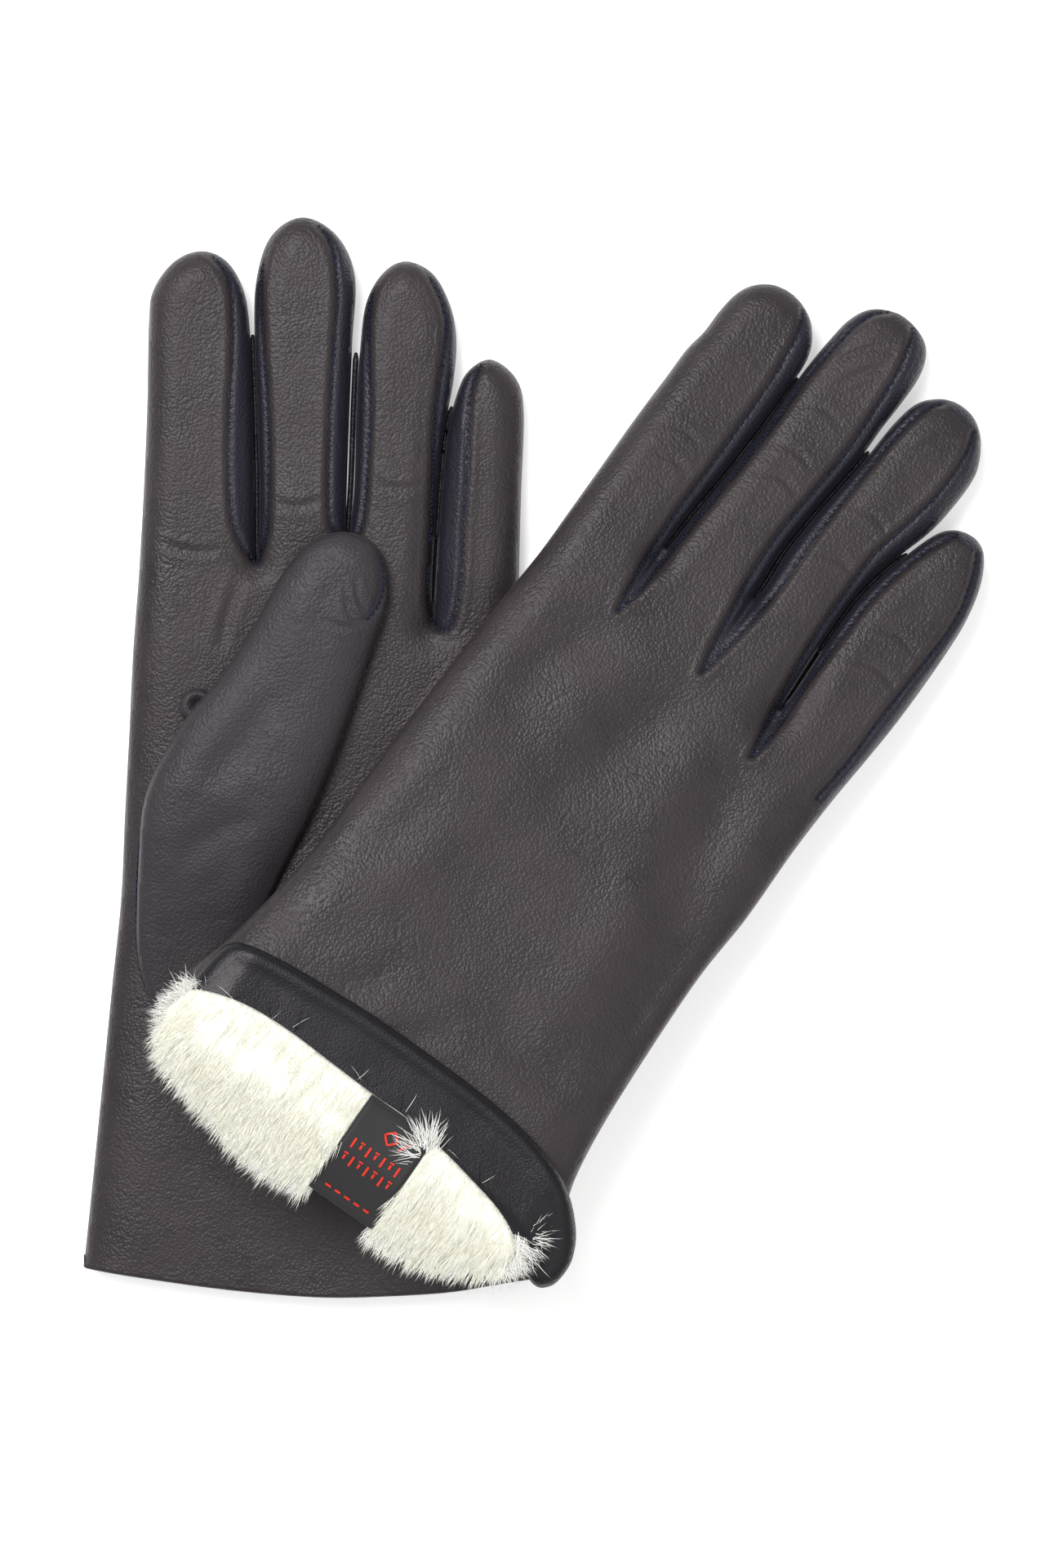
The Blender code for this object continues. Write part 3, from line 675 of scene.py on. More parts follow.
class Glove:
    """One glove's surface: its outline, seams and heights, in millimetres in its own frame."""

    def __init__(self, poly, seams, valleys, gaps, cuff_y, seed, thick, bottom):
        self.poly = poly
        self.cuff_y = cuff_y
        self.seed = seed
        self.thick = thick
        self.bottom = bottom
        side = poly[poly[:, 1] > cuff_y(poly[:, 0]) + 0.6]
        self.side = Near(side)
        lines = [smooth_line(points) for points in seams.values()]
        self.seam_near = Near(np.concatenate(lines))
        self.seam_starts = np.concatenate([np.full(len(line), line[:, 1].min()) for line in lines])
        self.panels = panel_polygons(seams)
        self.valleys = [(Vector(a), Vector(b)) for a, b in valleys]
        self.gaps = [np.array(line) for line in gaps]
        self.creases = []

    def rounding(self, xy):
        """The radius of the rolled side: wide on the hand, tight on the fingers."""
        return 13.0 - 5.6 * ramp(xy[:, 1], 120.0, 176.0)

    def heights(self, xy):
        distance, _ = self.side.query(xy)
        radius = self.rounding(xy)
        top = dome(distance, radius)
        for a, b in self.valleys:
            along = np.array(b - a)
            length = float(np.hypot(*along))
            t = np.clip(((xy - np.array(a)) @ along) / length ** 2, 0.0, 1.0)
            off = np.hypot(*(xy - (np.array(a) + t[:, None] * along)).T)
            depth = ramp(t, -0.15, 1.0)
            top *= 1.0 - depth * (1.0 - dome(off, 4.5 + 1.5 * t)) * 0.96
        seam_distance, _ = self.seam_near.query(xy)
        middle = self.bottom + 0.46 * self.thick
        slow = waves(xy, 34.0, self.seed, 2)
        quick = waves(xy, 9.0, self.seed + 3, 2)
        soft = np.clip(distance / 6.0, 0.0, 1.0)
        rise = 0.54 * self.thick - 0.5 * (1.0 - slow) + 0.07 * (quick - 1.0) * soft
        upper = middle + top * rise
        low = dome(distance, radius * 0.8)
        lower = middle - low * (0.46 * self.thick + 0.12 * quick * soft)
        lower = np.maximum(lower, self.bottom + 0.02 * (1 - low))
        hold = np.clip(distance / 1.2, 0.0, 1.0)
        groove = -0.65 * bump_line(seam_distance, 0.6) + 0.3 * bump_line(seam_distance - 1.5, 0.8)
        upper += groove * hold
        lower += 0.3 * bump_line(seam_distance, 0.7) * hold * (lower > self.bottom + 0.1)
        for line, depth, width in self.creases:
            off, index = line.query(xy)
            ends = np.minimum(index, len(line.line) - 1 - index) / (0.35 * len(line.line))
            upper -= depth * bump_line(off, width) * np.clip(ends, 0.0, 1.0) * soft
            upper += 0.45 * depth * bump_line(off - 2.0 * width, width) * np.clip(ends, 0.0, 1.0) * soft
        return upper, np.minimum(lower, upper - 0.05 * hold)

    def seam_value(self, xy):
        """Signed distance to the seams: positive on the fourchettes."""
        distance, index = self.seam_near.query(xy)
        on_panel = np.zeros(len(xy), bool)
        for polygon in self.panels:
            on_panel |= inside(xy, polygon)
        on_hand = xy[:, 1] < self.seam_starts[index] - 0.1
        return np.clip(distance, 0.0, 3.0) * np.where(on_panel | on_hand, -1.0, 1.0)

    def finger_of(self, xy):
        """0 on the hand, 1 to 4 on the fingers."""
        column = np.ones(len(xy), int)
        for gap in self.gaps:
            column += xy[:, 0] > np.interp(xy[:, 1], gap[:, 1], gap[:, 0])
        starts = np.array([f[1] for f in FINGERS])[column - 1]
        return np.where(xy[:, 1] > starts - 0.4, column, 0)


def left_cuff_y(u):
    cut = np.array(LEFT_CUFF[::-1])
    return np.interp(u, cut[:, 0], cut[:, 1])


def right_cuff_y(u):
    return 28.6 + 0 * u


def crease(points, depth, width):
    return Near(smooth_line(points)), depth, width


left = Glove(LEFT_POLY, LEFT_SEAMS, LEFT_VALLEYS, LEFT_GAPS, left_cuff_y, 3, 11.5, 0.0)
left.creases = [
    crease([(24, 128), (31, 137), (38, 148)], 0.5, 1.2),
    crease([(14, 112), (24, 122), (35, 131), (46, 136)], 0.45, 1.4),
    crease([(8, 96), (20, 108), (36, 118)], 0.4, 1.5),
    crease([(-14, 168), (-17, 160), (-19, 150)], 0.45, 1.3),
    crease([(-34, 176), (-26, 173.5), (-18, 174)], 0.3, 1.0),
    crease([(-9, 186), (-1, 184), (8, 187)], 0.3, 1.0),
    crease([(16, 190), (24, 188), (32, 191)], 0.25, 1.0),
]
right = Glove(RIGHT_POLY, RIGHT_SEAMS, RIGHT_VALLEYS, RIGHT_GAPS, right_cuff_y, 11, 11.5, 0.0)
right.creases = [
    crease([(-14, 157), (-17, 147), (-22, 134), (-24, 120)], 0.6, 5.5),
    crease([(10, 156), (8, 142), (3, 126), (-3, 108)], 0.7, 6.0),
    crease([(31, 144), (31, 132), (29, 118), (24, 104)], 0.6, 5.5),
    crease([(33, 134), (38, 108), (41, 84), (37, 54)], 1.5, 7.0),
    crease([(12, 64), (28, 58), (46, 55)], 0.45, 4.2),
    crease([(-36, 66), (-28, 84), (-24, 104)], 0.5, 5.0),
    crease([(-24, 42), (-14, 50), (-8, 62)], 0.35, 3.4),
    crease([(-8, 40), (2, 46), (10, 56)], 0.3, 3.2),
    crease([(-6, 232), (-3, 238), (2, 243)], 0.35, 0.8),
    crease([(-3, 229), (1, 235), (5, 239)], 0.35, 0.8),
    crease([(20, 226), (24, 231), (28, 234)], 0.25, 0.8),
    crease([(-30, 190), (-24, 192), (-18, 190)], 0.25, 0.9),
    crease([(-33, 196), (-26, 199), (-19, 197)], 0.2, 0.8),
    crease([(-8, 200), (-1, 203), (5, 201)], 0.3, 0.9),
    crease([(-9, 208), (-2, 210), (5, 208)], 0.25, 0.8),
    crease([(-9, 219), (-2, 222), (5, 220)], 0.2, 0.8),
    crease([(15, 192), (21, 195), (27, 193)], 0.28, 0.9),
    crease([(15, 206), (21, 208), (27, 206)], 0.22, 0.8),
    crease([(34, 176), (42, 179), (50, 177)], 0.25, 0.9),
    crease([(35, 186), (42, 188), (50, 186)], 0.2, 0.8),
]


def cut_apart(bm, owner, names, matrix, mats, seam=None, finish=None, keep_own=None):
    """Cuts one skin into pieces that keep the normals of the whole. owner holds each face's piece."""
    bm.normal_update()
    turn = matrix.to_3x3().normalized()
    normals = [turn @ v.normal for v in bm.verts]
    pieces = {}
    for k, name in enumerate(names):
        part = bm.copy()
        part.faces.ensure_lookup_table()
        keep = part.verts.layers.int.new("source")
        for i, v in enumerate(part.verts):
            v[keep] = i
        bmesh.ops.delete(part, geom=[part.faces[i] for i in np.nonzero(owner != k)[0]], context="FACES")
        source = [v[keep] for v in part.verts]
        if finish and k == 0:
            finish(part)
            source += [-1] * (len(part.verts) - len(source))
        part.verts.layers.int.remove(part.verts.layers.int["source"])
        own = [i < 0 or (keep_own is not None and keep_own(v.co)) for i, v in zip(source, part.verts)]
        obj = place(part, name, matrix, mats)
        if seam is not None:
            attribute(obj.data, "seam", [seam[i] if i >= 0 else -3.0 for i in source])
        mine = [Vector(v.normal) for v in obj.data.vertices]
        obj.data.normals_split_custom_set_from_vertices(
            [mine[j] if own[j] else normals[i] for j, i in enumerate(source)]
        )
        pieces[name] = obj
    bm.free()
    return pieces


def face_centres(bm):
    return np.array([f.calc_center_median()[:2] for f in bm.faces])


def glove_pieces(glove, side, matrix):
    """The whole glove's skin, cut into the hand and the four fingers."""
    bm = pillow(glove.poly, CELL, glove.heights, lambda co: co.y < glove.cuff_y(co.x) + 0.5)
    bm.verts.ensure_lookup_table()
    seam = glove.seam_value(np.array([v.co[:2] for v in bm.verts]))
    names = [f"{side}_hand_leather"] + [f"{side}_{f[0]}_leather" for f in FINGERS]
    made = cut_apart(
        bm, glove.finger_of(face_centres(bm)), names, matrix, [SKIN], seam,
        finish=lambda part: turn_in_cuff(part, glove),
        keep_own=lambda co: co.y < glove.cuff_y(co.x) + 1.2,
    )
    return [made[name] for name in names]


def turn_in_cuff(bm, glove):
    """Turns the cut edge of the cuff inside: a rounded lip and a short inner wall."""
    rim = [e for e in bm.edges if e.is_boundary and all(v.co.y < glove.cuff_y(v.co.x) + 0.6 for v in e.verts)]
    middle = glove.bottom + 0.46 * glove.thick
    for shrink, back in ((0.5, -0.35), (0.5, 0.35), (0.1, 2.5)):
        made = bmesh.ops.extrude_edge_only(bm, edges=rim)
        moved = [g for g in made["geom"] if isinstance(g, bmesh.types.BMVert)]
        for v in moved:
            v.co.z += shrink if v.co.z < middle else -shrink
            v.co.y += back
        rim = [g for g in made["geom"] if isinstance(g, bmesh.types.BMEdge)
               and all(v in set(moved) for v in g.verts)]


def bend_finger(obj):
    """Fabric over a finger's crease: its place is baked into its mesh."""
    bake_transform(obj)


def ride_glove(pieces, side):
    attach(pieces[0], f"{side}_hand")
    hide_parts(f"{side}_hand_palm", f"{side}_hand_back")
    for k, (name, *_) in enumerate(FINGERS, 1):
        bend_finger(pieces[k])
        parts = ("palm", "back", "lining", "inner_fourchette", "outer_fourchette")
        nodes = [f"{side}_{name}_{part}" for part in parts]
        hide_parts(*[n for n in nodes if n in frame["nodes"]])


left_pieces = glove_pieces(left, "left", LEFT)
ride_glove(left_pieces, "left")
right_pieces = glove_pieces(right, "right", RIGHT)
ride_glove(right_pieces, "right")


# ---------------------------------------------------------------- folded fourchettes in the gaps

ROLL_RADIUS = 0.7
ROLL_RISE = 1.4


def roll(path, radius, sides=8):
    """A closed round roll along a path of points, its ends tapered."""
    bm = bmesh.new()
    rings = []
    for i, point in enumerate(path):
        before, after = path[max(i - 1, 0)], path[min(i + 1, len(path) - 1)]
        run = (after - before).normalized()
        side = Vector((run.y, -run.x, 0.0)).normalized()
        up = run.cross(side)
        size = radius * (0.5 if i in (0, len(path) - 1) else 1.0)
        turns = [2 * math.pi * k / sides for k in range(sides)]
        ring = [point + side * size * math.cos(a) + up * size * ROLL_RISE * math.sin(a) for a in turns]
        rings.append([bm.verts.new(spot) for spot in ring])
    for a, b in zip(rings, rings[1:]):
        for i in range(sides):
            j = (i + 1) % sides
            bm.faces.new((a[i], a[j], b[j], b[i]))
    bm.faces.new(rings[0][::-1])
    bm.faces.new(rings[-1])
    bmesh.ops.recalc_face_normals(bm, faces=bm.faces)
    return bm


def gap_rolls(glove, side, matrix):
    """Each finger's folded fourchette fills the gap beside it, one finger's above the other's."""
    for g, (gap, top) in enumerate(zip(glove.gaps, GAP_TOPS)):
        line = smooth_line(gap, step=1.5)
        line = line[line[:, 1] < top]
        rolls = [
            (g + 1, "outer", 0.3, FINGERS[g][1] - 0.2, top),
            (g + 2, "inner", 0.12, FINGERS[g + 1][1] - 0.2, top),
        ]
        if gap[0][1] < min(FINGERS[g][1], FINGERS[g + 1][1]) - 2:
            rolls.append((0, "crotch", 0.3, 0.0, FINGERS[g + 1][1] + 1.0))
        for k, word, level, low, high in rolls:
            at = glove.bottom + level * glove.thick
            path = [Vector((u, y, at)) for u, y in line if max(low, gap[0][1] - 0.6) < y < high]
            path.insert(0, 2 * path[0] - path[1])
            name = f"{side}_{word}_fold" if k == 0 else f"{side}_{FINGERS[k - 1][0]}_{word}_fold"
            obj = place(roll(path, ROLL_RADIUS), name, matrix, [FOURCHETTE])
            if k:
                bend_finger(obj)
            else:
                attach(obj, f"{side}_hand")


GAP_TOPS = (226.0, 222.0, 208.0)
gap_rolls(left, "left", LEFT)
gap_rolls(right, "right", RIGHT)


# ---------------------------------------------------------------- the left glove's thumb

THUMB_EDGE = [
    (-33.3, 64.5), (-37.1, 74), (-38.4, 82.2), (-38.3, 92.4), (-37.7, 104.8), (-37, 113), (-35, 120.2),
    (-30.8, 128.4), (-26.3, 135.5), (-20.2, 142.7), (-13.5, 152), (-7.9, 162.2), (-3.7, 169.4), (1.4, 175.2),
    (9, 178), (15.8, 176.1), (19.2, 171.5), (20.2, 165.3), (19.3, 159), (16.2, 150), (12.7, 139.6),
    (7.5, 125.3),
    (2.4, 113), (-4.8, 98.6), (-12.5, 83), (-22, 71), (-29, 65.2),
]
THUMB_SEAM = [(18.0, 172.6), (18.9, 168.4), (18.7, 164), (17.2, 160), (14.8, 157.4)]
THUMB_ROOT_SEAM = [(-38.0, 106), (-38.6, 96), (-38.6, 84), (-37.2, 74), (-33.6, 65.4)]
THUMB_BEND = (112.0, 128.0)
QUIRK_EDGE = [
    (-28.6, 137.4), (-27.6, 140.4), (-24.6, 141.8), (-21.6, 140.8), (-19.6, 138.0), (-21.4, 135.2),
    (-25.2, 133.8),
    (-27.8, 135.0),
]
# How the right glove's thumb is tucked: turned and gathered about its root.
TUCK_ROOT = (-30.0, 70.0)
TUCK_TURN = -30.0
TUCK_GATHER = 0.8


class Thumb:
    """The thumb lying over the palm: flat at its sewn root, round and free at its tip."""

    def __init__(self):
        self.poly = smooth_line(THUMB_EDGE, closed=True)
        self.edge = Near(self.poly)
        self.seam = Near(smooth_line(THUMB_SEAM))
        self.creases = [
            crease([(12.5, 168), (13.6, 162), (16.4, 158.6)], 0.35, 0.7),
            crease([(10.2, 166), (11.4, 159), (15.4, 154.4)], 0.3, 0.8),
            crease([(5, 157.6), (10, 155.6), (14.6, 156.8)], 0.28, 0.7),
            crease([(2, 172), (7, 172.4), (12, 170.6)], 0.15, 0.9),
            crease([(-24, 118), (-14, 128), (-6, 141)], 0.35, 3.2),
            crease([(-30, 100), (-20, 108), (-10, 112)], 0.3, 2.6),
        ]

    def heights(self, xy):
        distance, _ = self.edge.query(xy)
        rise = ramp(xy[:, 1], 64.0, 122.0)
        rim = 10.9 + 3.7 * rise
        top = dome(distance, 6.0 + 4.5 * rise)
        slow = waves(xy, 26.0, 5, 2)
        quick = waves(xy, 7.0, 6, 2)
        upper = rim + top * (1.8 + 3.3 * rise + 0.45 * (slow - 1.0) + 0.12 * (quick - 1.0))
        lower = rim - top * (0.9 + 1.9 * rise)
        near, _ = self.seam.query(xy)
        upper -= 0.5 * bump_line(near, 0.7) * np.clip(distance / 0.8, 0, 1)
        upper -= 0.35 * ramp(1.8 - near, 0.0, 1.6) * (xy[:, 0] > 16.5)
        soft = np.clip(distance / 5.0, 0.0, 1.0)
        for line, depth, width in self.creases:
            off, index = line.query(xy)
            ends = np.clip(np.minimum(index, len(line.line) - 1 - index) / (0.3 * len(line.line)), 0.0, 1.0)
            upper -= depth * bump_line(off, width) * ends * soft
            upper += 0.5 * depth * bump_line(off - 2.0 * width, width) * ends * soft
        return upper, np.minimum(lower, upper - 0.02)


thumb = Thumb()
thumb_skin = pillow(thumb.poly, CELL, thumb.heights)
thumb_owner = (face_centres(thumb_skin)[:, 1] > THUMB_BEND[0] - 0.3).astype(int)
thumb_names = ["left_thumb_root_leather", "left_thumb_leather"]
thumb_made = cut_apart(thumb_skin, thumb_owner, thumb_names, LEFT, [PLAIN_SKIN])
thumb_root, thumb_tip = thumb_made.values()


def bend_thumb(obj):
    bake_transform(obj)


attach(thumb_root, "left_hand")
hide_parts("left_thumb_base")
bend_thumb(thumb_tip)
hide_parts("left_thumb_inner", "left_thumb_outer", "left_thumb_lining")


def quirk_heights(xy):
    """A small loop of leather: a rolled ring round a pinched middle."""
    distance, _ = quirk_near.query(xy)
    pinch = bump_line(np.hypot(xy[:, 0] + 24.4, xy[:, 1] - 138.0), 1.5)
    rim = 10.4 + 0 * distance
    top = dome(distance, 1.7)
    return rim + top * 2.7 - 1.7 * pinch, rim - 0.4 * top


quirk_poly = smooth_line(QUIRK_EDGE, closed=True, step=0.25)
quirk_near = Near(quirk_poly)
quirk_piece = place(pillow(quirk_poly, 0.35, quirk_heights), "left_quirk_leather", LEFT, [PLAIN_SKIN])
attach(quirk_piece, "left_hand")
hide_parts("left_quirk")


def gathered(points):
    """Points of the thumb as they lie once it is tucked under the right palm."""
    root = np.array(TUCK_ROOT)
    angle = math.radians(TUCK_TURN)
    turn = np.array([[math.cos(angle), -math.sin(angle)], [math.sin(angle), math.cos(angle)]])
    return root + (np.array(points, float) - root) * TUCK_GATHER @ turn.T


def tucked_heights(xy):
    distance, _ = tucked_near.query(xy)
    top = dome(distance, 6.0)
    slow = waves(xy, 18.0, 9, 2)
    return -3.3 + 2.9 * top, -3.3 - top * (2.7 + 0.3 * (slow - 1.0))


tucked_poly = smooth_line(gathered(THUMB_EDGE), closed=True)
tucked_near = Near(tucked_poly)
tucked = place(pillow(tucked_poly, 1.1, tucked_heights), "right_thumb_leather", RIGHT, [PLAIN_SKIN])
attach(tucked, "right_hand")
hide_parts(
    "right_thumb_base", "right_thumb_inner", "right_thumb_outer", "right_thumb_lining", "right_quirk",
)


# ---------------------------------------------------------------- inside the cuffs

def plug(name, side, matrix, outline, low, high, seed):
    """The fur lining that fills the mouth of a glove."""
    poly = smooth_line(outline, closed=True)
    near = Near(poly)
    middle = (low + high) / 2

    def heights(xy):
        distance, _ = near.query(xy)
        top = dome(distance, 4.5) * ((high - low) / 2 - 0.5 * np.abs(waves(xy, 4.0, seed, 2)))
        return middle + top, middle - top

    obj = place(pillow(poly, 1.2, heights), name, matrix, [FUR])
    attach(obj, f"{side}_hand")
    return obj


def plug_outline(left_u, right_u, rise, front, back):
    """A band across the mouth: its front follows the cuff's curve."""
    across = np.linspace(left_u, right_u, 9)
    lower = [(u, rise(u) + front) for u in across]
    return lower + [(u, rise(u) + back) for u in across[::-1]]


left_mouth = plug_outline(-44.0, 52.0, left_cuff_y, 8.0, 28.0)
left_plug = plug("left_fur_lining", "left", LEFT, left_mouth, 1.8, 9.2, 21)
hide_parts("left_hand_lining")
right_mouth = plug_outline(-42.0, 49.5, right_cuff_y, -2.6, 14.0)
right_plug = plug("right_fur_lining", "right", RIGHT, right_mouth, 1.2, 9.4, 22)
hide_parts("right_hand_lining")


def hem_band():
    """The plain facing turned up inside the left cuff."""
    bm = bmesh.new()
    rings = []
    sections = np.linspace(-46.5, 55.5, 60)
    middle = 0.46 * left.thick
    for back in (0.9, 3.0, 8.0, 14.0, 22.0):
        y = left_cuff_y(sections) + back
        xy = np.stack([sections, y], axis=1)
        upper, lower = left.heights(xy)
        pinch = np.sqrt(np.clip(1 - ((sections - sections.mean()) / (np.ptp(sections) / 2)) ** 8, 0, 1))
        top = middle + (np.minimum(upper, 11.5) - 1.5 - middle) * pinch
        base = middle + (lower + 1.5 - middle) * pinch
        ring = [(u, v, z) for u, v, z in zip(sections, y, top)]
        ring += [(u, v, z) for u, v, z in zip(sections[-2:0:-1], y[-2:0:-1], base[-2:0:-1])]
        rings.append([bm.verts.new(p) for p in ring])
    for a, b in zip(rings, rings[1:]):
        for i in range(len(a)):
            j = (i + 1) % len(a)
            bm.faces.new((a[i], b[i], b[j], a[j]))
    bmesh.ops.remove_doubles(bm, verts=bm.verts, dist=1e-4)
    bmesh.ops.recalc_face_normals(bm, faces=bm.faces)
    bmesh.ops.reverse_faces(bm, faces=bm.faces)
    bmesh.ops.solidify(bm, geom=bm.faces, thickness=-0.5)
    bmesh.ops.recalc_face_normals(bm, faces=bm.faces)
    obj = place(bm, "left_hem_band", LEFT, [HEM])
    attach(obj, "left_hand")
    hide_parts("left_hem_facing")
    return obj


hem_band()


# ---------------------------------------------------------------- the right glove's turned-back cuff

BAND_EDGE = [
    (-46.4, 25), (-46.2, 31), (-45.6, 37), (-44.2, 40.8), (-40.6, 42.8), (-30.9, 44.4), (-19, 45.3),
    (-6, 45.9),
    (7.5, 45.8), (21.1, 45.4), (33.3, 44.2), (43.9, 41.8), (52.1, 37.8), (58.2, 32.3), (61.2, 27),
    (61.8, 22.4),
    (60.8, 18.4), (57.4, 16.4), (50, 19), (40, 22), (20, 24), (-20, 24), (-40, 23.6),
]
FUR_EDGE = [
    (-46.6, 23.6), (-45.6, 26.6), (-42.8, 28.4), (-33.3, 31), (-22.2, 31.8), (-9.4, 31.3), (3, 30.8),
    (11.7, 30.8),
    (23, 29.4), (31.4, 27.8), (40.3, 25.8), (46.6, 23), (49.6, 19.6), (48.6, 15.4), (43.5, 11.8), (37.9, 9),
    (32.5, 7), (24.5, 6), (12, 5.6), (2, 5.6), (-8, 4.2), (-15, 5), (-22, 6.6), (-31, 9), (-40, 11.4),
    (-45, 15),
    (-47.4, 19.6),
]
LABEL = (2.2, 19.8, 5.4, 30.6)


def cuff_wrap(u):
    """How far the cuff bends down round the sides of the hand."""
    return 5.0 * ramp(u, 47.0, 63.0) ** 1.2 + 3.2 * ramp(-u, 37.0, 49.0)


def band_heights(xy):
    distance, _ = band_near.query(xy)
    rim = 12.7 - cuff_wrap(xy[:, 0]) - 0.5 * ramp(24.0 - xy[:, 1], 0.0, 9.0)
    slow = waves(xy, 22.0, 31, 2)
    top = dome(distance, 1.7)
    lift = 0.55 * bump_line(distance - 2.6, 2.0) + 0.35 * slow * np.clip(distance / 5.0, 0, 1)
    return rim + 1.1 * top + lift, rim - 1.0 * top


def fur_heights(xy):
    distance, _ = fur_near.query(xy)
    droop = 5.5 * ramp(21.0 - xy[:, 1], 0.0, 19.0)
    ridges = waves(np.stack([xy[:, 0] * 1.0, xy[:, 1] * 0.28], axis=1), 3.4, 41, 3)
    lumps = waves(xy, 14.0, 42, 2)
    rim = 13.9 - cuff_wrap(xy[:, 0]) - droop
    pressed = ramp(xy[:, 0], LABEL[0] - 2.5, LABEL[0] + 1.5)
    pressed = pressed * ramp(-xy[:, 0], -LABEL[1] - 2.5, -LABEL[1] + 1.5)
    top = dome(distance, 6.0)
    pile = 3.4 + 0.55 * ridges + 0.5 * lumps
    under = rim - 1.1 * dome(distance, 2.0) - 2.0 * ramp(20.0 - xy[:, 1], 0, 8)
    return rim + top * (pile * (1.0 - 0.45 * pressed)), under


band_poly = smooth_line(BAND_EDGE, closed=True)
band_near = Near(band_poly)
band = place(pillow(band_poly, 0.7, band_heights), "right_cuff_band", RIGHT, [HEM])
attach(band, "right_cuff")
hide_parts("right_cuff_facing", "right_cuff_flap")

palm_cuff_poly = smooth_line(
    [(-44.4, 29.2), (-43.2, 36.0), (-41.0, 45.4), (0.0, 46.0), (47.6, 45.4), (50.4, 36.0), (52.2, 29.2),
     (0.0, 28.8)],
    closed=True,
)
palm_cuff_near = Near(palm_cuff_poly)


def palm_cuff_heights(xy):
    distance, _ = palm_cuff_near.query(xy)
    top = dome(distance, 1.4)
    return -1.2 + 0.8 * top, -1.2 - 1.0 * top


palm_cuff = place(pillow(palm_cuff_poly, 1.2, palm_cuff_heights), "right_palm_cuff", RIGHT, [HEM])
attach(palm_cuff, "right_hand")
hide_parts("right_palm_flap", "right_palm_facing")

fur_poly = smooth_line(FUR_EDGE, closed=True)
fur_near = Near(fur_poly)
fur_body = place(pillow(fur_poly, 0.6, fur_heights), "right_cuff_fur_body", RIGHT, [FUR])
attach(fur_body, "right_cuff")
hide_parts("right_cuff_fur")


def strand_shape():
    """One hair along +X, one unit long: three sides, tapered and curved down."""
    bm = bmesh.new()
    rings = []
    for t, radius in ((0.0, 0.014), (0.4, 0.0125), (0.75, 0.008)):
        ring = []
        for k in range(3):
            angle = 2 * math.pi * k / 3
            ring.append(bm.verts.new((t, radius * math.cos(angle), radius * math.sin(angle) - 0.16 * t * t)))
        rings.append(ring)
    tip = bm.verts.new((1.0, 0.0, -0.16))
    for a, b in zip(rings, rings[1:]):
        for i in range(3):
            j = (i + 1) % 3
            bm.faces.new((a[i], a[j], b[j], b[i]))
    for i in range(3):
        bm.faces.new((rings[-1][i], rings[-1][(i + 1) % 3], tip))
    bm.faces.new(rings[0][::-1])
    return bm


def aim(at, heading, pitch, roll, length):
    """A hair's place: heading in the plane, pitch above it, all in the glove's frame."""
    turn = Matrix.Rotation(heading, 4, "Z") @ Matrix.Rotation(-pitch, 4, "Y") @ Matrix.Rotation(roll, 4, "X")
    return RIGHT @ Matrix.Translation(at) @ turn @ Matrix.Scale(length, 4)


def clump(u, y, size, seed):
    """A slow sideways pull, so that hairs lie in pointed locks."""
    return noise.noise(Vector((u / size, y / size * 0.3, seed)))


def pile(count, rng):
    """Hairs over the whole pile, combed towards the fold."""
    low, high = fur_poly.min(axis=0), fur_poly.max(axis=0)
    spots = np.array([(rng.uniform(low[0], high[0]), rng.uniform(low[1], high[1])) for _ in range(count * 2)])
    spots = spots[inside(spots, fur_poly)][:count]
    under = (spots[:, 0] > LABEL[0]) & (spots[:, 0] < LABEL[1]) & (spots[:, 1] > LABEL[2])
    spots = spots[~under]
    upper, _ = fur_heights(spots)
    from_edge = np.clip(fur_near.query(spots)[0], 0.4, 6.0) / 6.0
    slope = 4.0 / 6.0 * (1 - from_edge) / np.sqrt(1 - (1 - from_edge) ** 2)
    made = []
    for (u, y), z, rise in zip(spots, upper, slope):
        lock = clump(u, y, 2.6, 3.0) + 0.5 * clump(u, y, 1.1, 5.0)
        heading = math.radians(-90 + 24 * lock + rng.gauss(0, 5) - 14 * ramp(-u, 30, 48))
        pitch = math.radians(rng.uniform(1, 9) - 13 * float(ramp(20 - y, 0, 16)))
        long = rng.uniform(4.0, 7.5)
        if y > 18.0:
            pitch += math.atan(0.9 * rise)
            long /= 1.0 + 1.2 * min(rise, 1.0)
        made.append(aim((u, y, z - 0.15), heading, pitch, rng.uniform(-0.7, 0.7), long))
    return made


def fringe(count, rng):
    """Longer, looser hairs that break the pile's outline."""
    made = []
    line = np.array([p for p in fur_poly if p[1] < 22.5 or p[0] < -44.5])
    for _ in range(count):
        u, y = line[rng.randrange(len(line))]
        u += rng.gauss(0, 0.5)
        y += abs(rng.gauss(0, 1.0))
        if LABEL[0] + 1 < u < LABEL[1] - 1:
            continue
        lock = clump(u, y, 2.2, 8.0) + 0.5 * clump(u, y, 0.9, 9.0)
        if u < -44.0:
            heading = math.radians(rng.uniform(165, 235) + 25 * lock)
            length = rng.uniform(1.5, 4.5)
        elif u > 44.0:
            heading = math.radians(rng.uniform(-75, 12) + 25 * lock)
            length = rng.uniform(3.0, 7.0)
        else:
            heading = math.radians(-92 + 45 * lock + rng.gauss(0, 9) - 20 * float(ramp(-u, 20, 44)))
            length = rng.uniform(2.5, 6.2)
        z = float(fur_heights(np.array([(u, y)]))[0][0])
        pitch = math.radians(rng.uniform(-22, 8))
        made.append(aim((u, y, z - 0.6), heading, pitch, rng.uniform(-1.5, 1.5), length))
    return made


